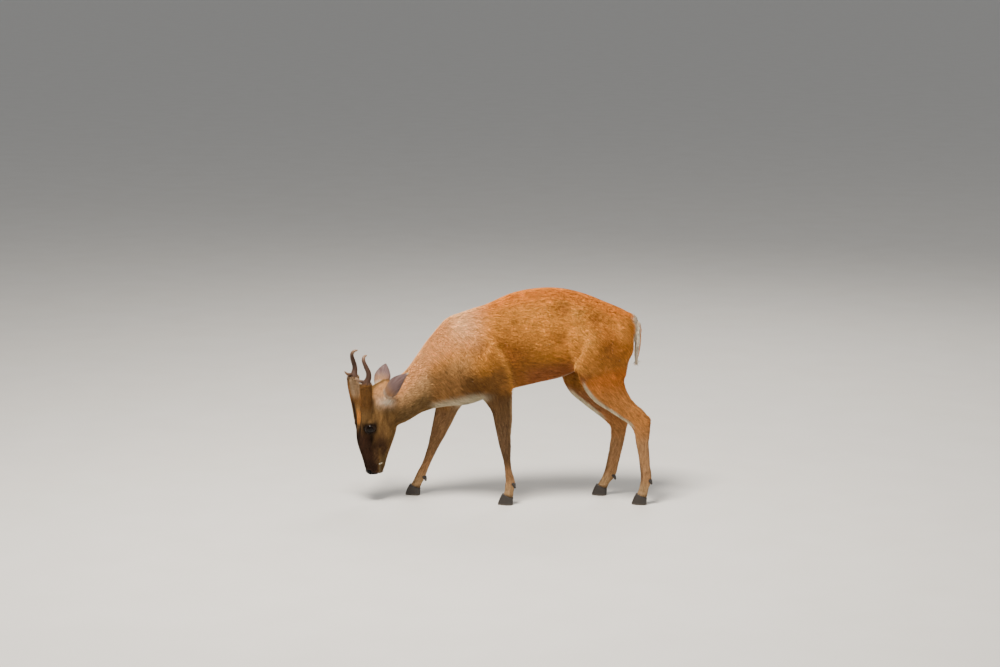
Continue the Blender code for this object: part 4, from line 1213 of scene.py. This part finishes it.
def tufts(name, roots, unwrap, slot):
    """One mesh of flat, tapered tufts that lie along the coat and bend down to it."""
    count = len(roots)
    out = unit(roots.normal)
    lie = unit(roots.lie - np.sum(roots.lie * out, axis=1, keepdims=True) * out)
    side = np.cross(out, lie)
    lock = locks_of(roots.place, lie)
    swing = rng.normal(0, SPLAY, count) + rng.normal(0, SPLAY, count)[lock]
    lie = unit(lie + side * swing[:, None])
    side = np.cross(out, lie)
    length = (roots.length * rng.uniform(0.75, 1.2, count))[:, None]
    width = (roots.width * rng.uniform(0.75, 1.25, count))[:, None]
    rise = (roots.depth * rng.uniform(0.82, 1.05, count) * rng.uniform(0.82, 1.05, count)[lock])[:, None]
    bend = side * (rng.normal(0, 0.04, count)[:, None] * length)
    shade = rng.normal(1.0, 0.06, count) * rng.normal(1.0, 0.12, count).clip(0.7, 1.3)[lock]
    thick = width * 0.28
    foot = roots.place - out * ROOT_DEPTH
    waist = roots.place + lie * length * 0.52 + out * rise * 0.72 + bend * 0.3
    tip = roots.place + lie * length + out * rise + bend
    rows = [foot - side * width / 2, foot + side * width / 2, foot + out * thick]
    rows += [waist - side * width * 0.42, waist + side * width * 0.42, waist + out * thick, tip]
    points = np.stack(rows, axis=1).reshape(-1, 3)
    start = (np.arange(count) * TUFT_POINTS)[:, None]
    quads = np.concatenate([start + [[a, b, b + 3, a + 3]] for a, b in ((0, 1), (1, 2), (2, 0))])
    ends = [(3, 4, 6), (4, 5, 6), (5, 3, 6), (0, 2, 1)]
    triangles = np.concatenate([start + [corners] for corners in ends])
    made = mesh_from(name, points, quads, triangles)
    add_field(made, "marks", np.repeat(roots.colour, TUFT_POINTS, axis=0), "FLOAT_COLOR")
    add_field(made, "shade", np.repeat(shade, TUFT_POINTS))
    hair = unwrap.hair(roots.turn, roots.run, roots.owner)
    add_field(made, "hair", np.repeat(hair, TUFT_POINTS, axis=0), "FLOAT_VECTOR")
    add_field(made, "tip", np.tile([0, 0, 0, 0.55, 0.55, 0.55, 1.0], count))
    sheet = unwrap.on_sheet(roots.turn, roots.run, roots.owner)
    patch = [[-1, -1], [1, -1], [0, -0.7], [-0.8, 0.2], [0.8, 0.2], [0, 0.3], [0, 1]]
    spread = (sheet[:, None, :] + np.array(patch) * PATCH).reshape(-1, 2)
    give_map(made, spread[np.concatenate([quads.ravel(), triangles.ravel()])])
    settle(made, HAIR, slot)


def sown(points, faces, owner, unwrap, spacing, **fields):
    """Roots spread evenly over the faces, more of them where the spacing is small."""
    one, two = points[faces[:, 2]] - points[faces[:, 0]], points[faces[:, 3]] - points[faces[:, 1]]
    area = np.linalg.norm(np.cross(one, two), axis=1) / 2
    wanted = area / np.maximum(spacing[faces].mean(axis=1), 1e-4) ** 2
    count = np.floor(wanted + rng.random(len(faces))).astype(int)
    chosen = np.repeat(np.arange(len(faces)), count)
    u, v = rng.random((2, len(chosen), 1))
    corners = faces[chosen]
    share = np.concatenate([(1 - u) * (1 - v), u * (1 - v), u * v, (1 - u) * v], axis=1)

    def at(values):
        flat = values.reshape(len(points), -1)
        found = sum(flat[corners[:, k]] * share[:, k : k + 1] for k in range(4))
        return found if values.ndim > 1 else found[:, 0]

    place, whose = at(points), owner[corners[:, 0]]
    turn, run = unwrap.rolled(place, whose)
    fields = {name: at(values) for name, values in fields.items()}
    return Roots(place=place, turn=turn, run=run, owner=whose, **fields)


HAIR = tuft_finish()
COAT = skin_finish()
HORN = horn_finish()
HOOF = hoof_finish()
TUSK = tusk_finish()


def hair_way(skin, pedicel):
    """The way the hair lies: back along the body, down the legs and up the pedicels."""
    x, _, z = skin.outline.T
    _, _, lateral = in_head(skin.outline)
    lie = np.zeros_like(skin.outline)
    for index, node in enumerate(FLESH):
        if node in LIE:
            way = LIE[node]
        else:
            points, _ = node_mesh(node)
            _, _, axes = np.linalg.svd(points - points.mean(axis=0), full_matrices=False)
            way = axes[0] * (-1 if axes[0][2] > 0 else 1)
        lie[skin.owner == index] = way
    downward = 0.75 * step(x, 0.16, 0.28) + 0.75 * step(x, 0.03, -0.06) * step(z, 0.53, 0.42)
    lie[:, 2] -= (skin.owner == TORSO) * downward
    upward = -ALONG + 0.1 * np.sign(lateral)[:, None] * LATERAL
    lie = np.where(pedicel[:, None] > 0.5, upward, lie)
    return unit(skin.net.smoothed(unit(lie), 86))


def dressed_body():
    """The skin and all the tufts on it."""
    skin = Skin()
    skin.shape_body()
    net, owner = skin.net, skin.owner
    depth, length, width, spacing = net.smoothed(np.array([COATS[word] for word in WORDS])[owner], 30).T
    coat = np.array(WORDS)[owner]
    weights = {word: net.smoothed((coat == word).astype(float), 44) for word in COATS}
    along, dorsal, _ = in_head(skin.outline)
    pedicel = step(along, -0.05, -0.075) * step(dorsal, 0.015, 0.028) * skin.on_head
    flare = pedicel * step(along, -0.100, -0.124)
    length, depth = length + 0.006 * flare, depth + 0.0016 * flare
    lie = hair_way(skin, pedicel)
    bare = bare_skin(skin.outline) * skin.on_head
    seat = nearest(skin.outline, [antler_foot(name) for name in SIDES])
    held = np.maximum(step(skin.outline[:, 2], 0.040, 0.030), step(seat, 0.013, 0.010))
    depth = depth * (1 - held) * (1 - 0.7 * bare)
    skin.draw_in(depth)
    skin.shape_face()
    colour = markings(skin.outline, skin.normals, weights)

    unwrap = Unwrap([skin.outline[owner == index] for index in range(len(FLESH))])
    body = mesh_from("skin", skin.points, skin.quads, skin.triangles)
    dress(body, skin.points, (skin.quads, skin.triangles), owner, unwrap, colour, bare)
    settle(body, COAT, "coat_torso", *FLESH)

    spacing = spacing * (QUICK_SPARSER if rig.quick() else 1.0) / np.sqrt(np.clip(1 - bare, 0.001, 1))
    spacing = np.where(held > 0.9, HELD_SPACING, spacing)
    roots = sown(
        skin.points, skin.faces, owner, unwrap, spacing,
        normal=skin.normals, lie=lie, length=length, width=width,
        depth=np.maximum(depth, LEAST_DEPTH), colour=colour, bare=bare,
    )
    grow_coat(roots.some(roots.bare < 0.5), unwrap)


def grow_coat(roots, unwrap):
    """Each part's tufts as pieces of their own, the trunk's from front to back."""

    def on(*nodes):
        return np.isin(roots.owner, [FLESH.index(node) for node in nodes])

    left = in_head(roots.place)[2] > 0
    fore = [f"{side}_fore_{part}" for side in SIDES for part in ("leg", "shank")]
    pieces = [
        ("coat_left_face", "coat_head", on("head") & left),
        ("coat_right_face", "coat_head", on("head") & ~left),
        ("coat_neck", "coat_neck", on("neck")),
        ("coat_tail", "coat_tail", on("tail")),
        ("coat_fore_legs", "coat_leg", on(*fore)),
    ]
    for side in SIDES:
        pieces.append((f"coat_{side}_hind_leg", "coat_leg", on(f"{side}_hind_leg", f"{side}_hind_shank")))
    torso = np.flatnonzero(roots.owner == TORSO)
    torso = torso[np.argsort(roots.place[torso, 0])]
    for index, share in enumerate(np.array_split(torso, TORSO_PIECES)):
        pieces.append((f"coat_torso_{index + 1}", "coat_torso", share))
    for name, slot, mine in pieces:
        tufts(name, roots.some(mine), unwrap, slot)


def antler_foot(name):
    """The middle of an antler's burr, where it stands on its pedicel."""
    points, _ = node_mesh(f"{name}_antler_beam")
    along, _, _ = in_head(points)
    return points[along > along.max() - 0.001].mean(axis=0)


def smooth_copy(nodes, voxel, passes):
    """One smooth mesh over some solids, with its net."""
    points, quads = fused([grown(node) for node in nodes], voxel)
    net = Net(len(points), quads)
    return net.relaxed(points, passes), quads, net


def antler(name):
    """A beam and its brow tine, with a knobbly burr, grooves along the beam and worn tips."""
    beam, tine = f"{name}_antler_beam", f"{name}_brow_tine"
    points, quads, _ = smooth_copy([beam, tine], HORN_VOXEL, 7)
    normals = normals_of(points, quads)
    offset = points - antler_foot(name)
    high = -(offset @ ALONG)
    around = np.arctan2(offset @ DORSAL, offset @ LATERAL)
    knobs = np.cos(around * 9 + 2.0 * np.sin(around * 2)) * hump(high, 0.004, 0.004)
    grooves = np.cos(around * 7 + high * 60) * step(high, 0.008, 0.020) * step(high, 0.080, 0.045)
    points = points + normals * (0.0010 * knobs + 0.0003 * grooves)[:, None]
    made = mesh_from(f"{name}_antler", points, quads)
    near = nearest(points, [points[np.argmax(high)], tine_tip(tine)])
    worn = 0.8 * step(near, 0.024, 0.002) + 0.15 * np.maximum(knobs, 0)
    add_field(made, "worn", np.clip(worn, 0, 1))
    settle(made, HORN, "antler", beam, tine)


def tine_tip(node):
    points, _ = node_mesh(node)
    return points[np.argmax(-in_head(points)[0])]


def claws():
    """Hooves and dewclaws, smooth, each in place of its own solid."""
    for foot in FEET:
        for place in ("outer", "inner"):
            for kind, voxel in CLAW_VOXELS.items():
                node = f"{foot}_{place}_{kind}"
                points, quads, _ = smooth_copy([node], voxel, 4)
                points[:, 2] = np.maximum(points[:, 2], 0)
                settle(mesh_from(f"{node}_horn", points, quads), HOOF, "hoof", node)


def tusks():
    for name in SIDES:
        points, quads, _ = smooth_copy([f"{name}_tusk"], TUSK_VOXEL, 3)
        settle(mesh_from(f"{name}_tusk_ivory", points, quads), TUSK, "tusk", f"{name}_tusk")


def eyes():
    """A wet eyeball with a slightly raised front."""
    for name, side in SIDES.items():
        points, triangles = ball_mesh(np.zeros(3), EYE_RADIUS)
        look, _, _ = eye_axes(side)
        front = step(points @ look / EYE_RADIUS, 0.72, 0.95)
        points = points * (1 + 0.035 * front)[:, None] + EYES[name]
        made = mesh_from(f"{name}_eyeball", points, triangles)
        settle(made, eye_finish(name, side), "eye", f"{name}_eye")


def ears():
    """Each ear smooth, with thin short hair, a cup darkened with painted shade, and pale hair along its rim and root.
    """
    for name in SIDES:
        node, ear = f"{name}_ear", EARS[name]
        points, quads, net = smooth_copy([node], EAR_VOXEL, 5)
        normals = unit(net.smoothed(normals_of(points, quads), 2))
        run = (points - ear["root"]) @ ear["out"]
        run = (run - run.min()) / np.ptp(run)
        side = np.cross(ear["out"], ear["opens"])
        across = (points - ear["root"]) @ side
        cup = net.smoothed(step(normals @ ear["opens"], -0.25, 0.15) * step(run, 0.06, 0.12), 2)
        rim = hump(cup, 0.5, 0.22) * step(run, 0.15, 0.3)
        streaks = 0.5 + 0.5 * np.cos(across * 900 + 5 * np.sin(3 * run + across * 130))
        colour = blended(
            EAR_BACK,
            (EAR_BASE, step(run, 0.50, 0.15) * (1 - cup) * (0.65 + 0.25 * streaks)),
            (EAR_STREAK, 0.25 * streaks * step(run, 0.20, 0.35) * (1 - cup)),
            (EAR_WHITE, 0.4 * step(run, 0.18, 0.02) * (1 - cup)),
            # painted shade over the ear's cup
            (EAR_CUP_SHADE, cup),
            (CREAM, 0.10 * cup * streaks * step(run, 0.80, 0.45)),
            (CREAM, 0.30 * step(run, 0.22, 0.08) * cup),
            (CREAM, 0.35 * rim + 0.5 * step(run, 0.94, 0.99)),
        )
        unwrap = Unwrap([points])
        owner = np.zeros(len(points), int)
        made = mesh_from(f"{name}_ear_skin", points, quads)
        dress(made, points, [quads], owner, unwrap, colour, np.zeros(len(points)), 0.2)
        settle(made, COAT, "ear", node)
        spacing = (0.0016 + 0.0014 * cup) * (QUICK_EARS_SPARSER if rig.quick() else 1.0)
        fields = {"normal": normals, "colour": colour, "cup": cup, "far": run}
        roots = sown(points, quads, owner, unwrap, spacing, **fields)
        roots.lie = np.broadcast_to(ear["out"], roots.place.shape)
        roots.length = (0.0044 + 0.003 * roots.cup) * (1 - 0.6 * roots.far)
        roots.width = np.full(len(roots), 0.0008)
        roots.depth = 0.0006 + 0.0006 * roots.cup
        tufts(f"coat_{name}_ear", roots, unwrap, "ear")


# The stage: each light's place, size, watts and colour, and the sky's colour and strength
LIGHTS = {
    "key": ((-0.6, -1.2, 3.3), 1.0, 280, (1.0, 0.95, 0.88)),
    "fill": ((2.2, -3.2, 1.2), 2.4, 18, (0.92, 0.96, 1.0)),
    "back": ((0.9, 2.4, 2.8), 1.6, 55, (1.0, 0.97, 0.92)),
}
SKY, SKY_STRENGTH = (0.80, 0.83, 0.87, 1), 0.42
LIGHTS_AIM = (0, 0, 0.3)


def stage_and_light():
    """A pale floor, and soft light from above and in front."""
    bm = bmesh.new()
    bmesh.ops.create_grid(bm, x_segments=1, y_segments=1, size=40)
    mesh = bpy.data.meshes.new("floor")
    bm.to_mesh(mesh)
    bm.free()
    floor = put_in("floor", mesh)
    finish = Finish("pale_floor", roughness=0.85)
    grain = finish.noise(finish.place(), 6.0)
    finish.give("Base Color", finish.mix(grain, linear("cfcac2"), linear("d6d2cb")))
    mesh.materials.append(finish.material)
    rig.stage(floor)
    for name, (place, size, watts, colour) in LIGHTS.items():
        lamp = bpy.data.lights.new(name, "AREA")
        lamp.size, lamp.energy, lamp.color = size, watts, colour
        thing = put_in(name, lamp)
        thing.location = place
        thing.rotation_euler = (Vector(LIGHTS_AIM) - Vector(place)).to_track_quat("-Z", "Y").to_euler()
    world = bpy.data.worlds.new("studio")
    world.use_nodes = True
    sky = world.node_tree.nodes["Background"]
    sky.inputs[0].default_value = SKY
    sky.inputs[1].default_value = SKY_STRENGTH
    bpy.context.scene.world = world


# The photo's camera stands level with the animal's back and looks down on it
ELEVATION = math.radians(10.4)
DISTANCE = 6.5
LENS = 85.0
LOOK_AT = (0.00306, 0.00445, 0.4706)


def camera():
    data = bpy.data.cameras.new("camera")
    data.lens = LENS
    thing = put_in("camera", data)
    x, y, z = LOOK_AT
    thing.location = (x, y - DISTANCE * math.cos(ELEVATION), z + DISTANCE * math.sin(ELEVATION))
    thing.rotation_euler = (math.pi / 2 - ELEVATION, 0, 0)
    bpy.context.scene.camera = thing


dressed_body()
ears()
for side_name in SIDES:
    antler(side_name)
eyes()
tusks()
claws()
stage_and_light()
camera()

with open("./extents.json", "w") as file:
    json.dump([[list(map(float, corner)) for corner in box] for box in (cad_box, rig.bounds())], file)
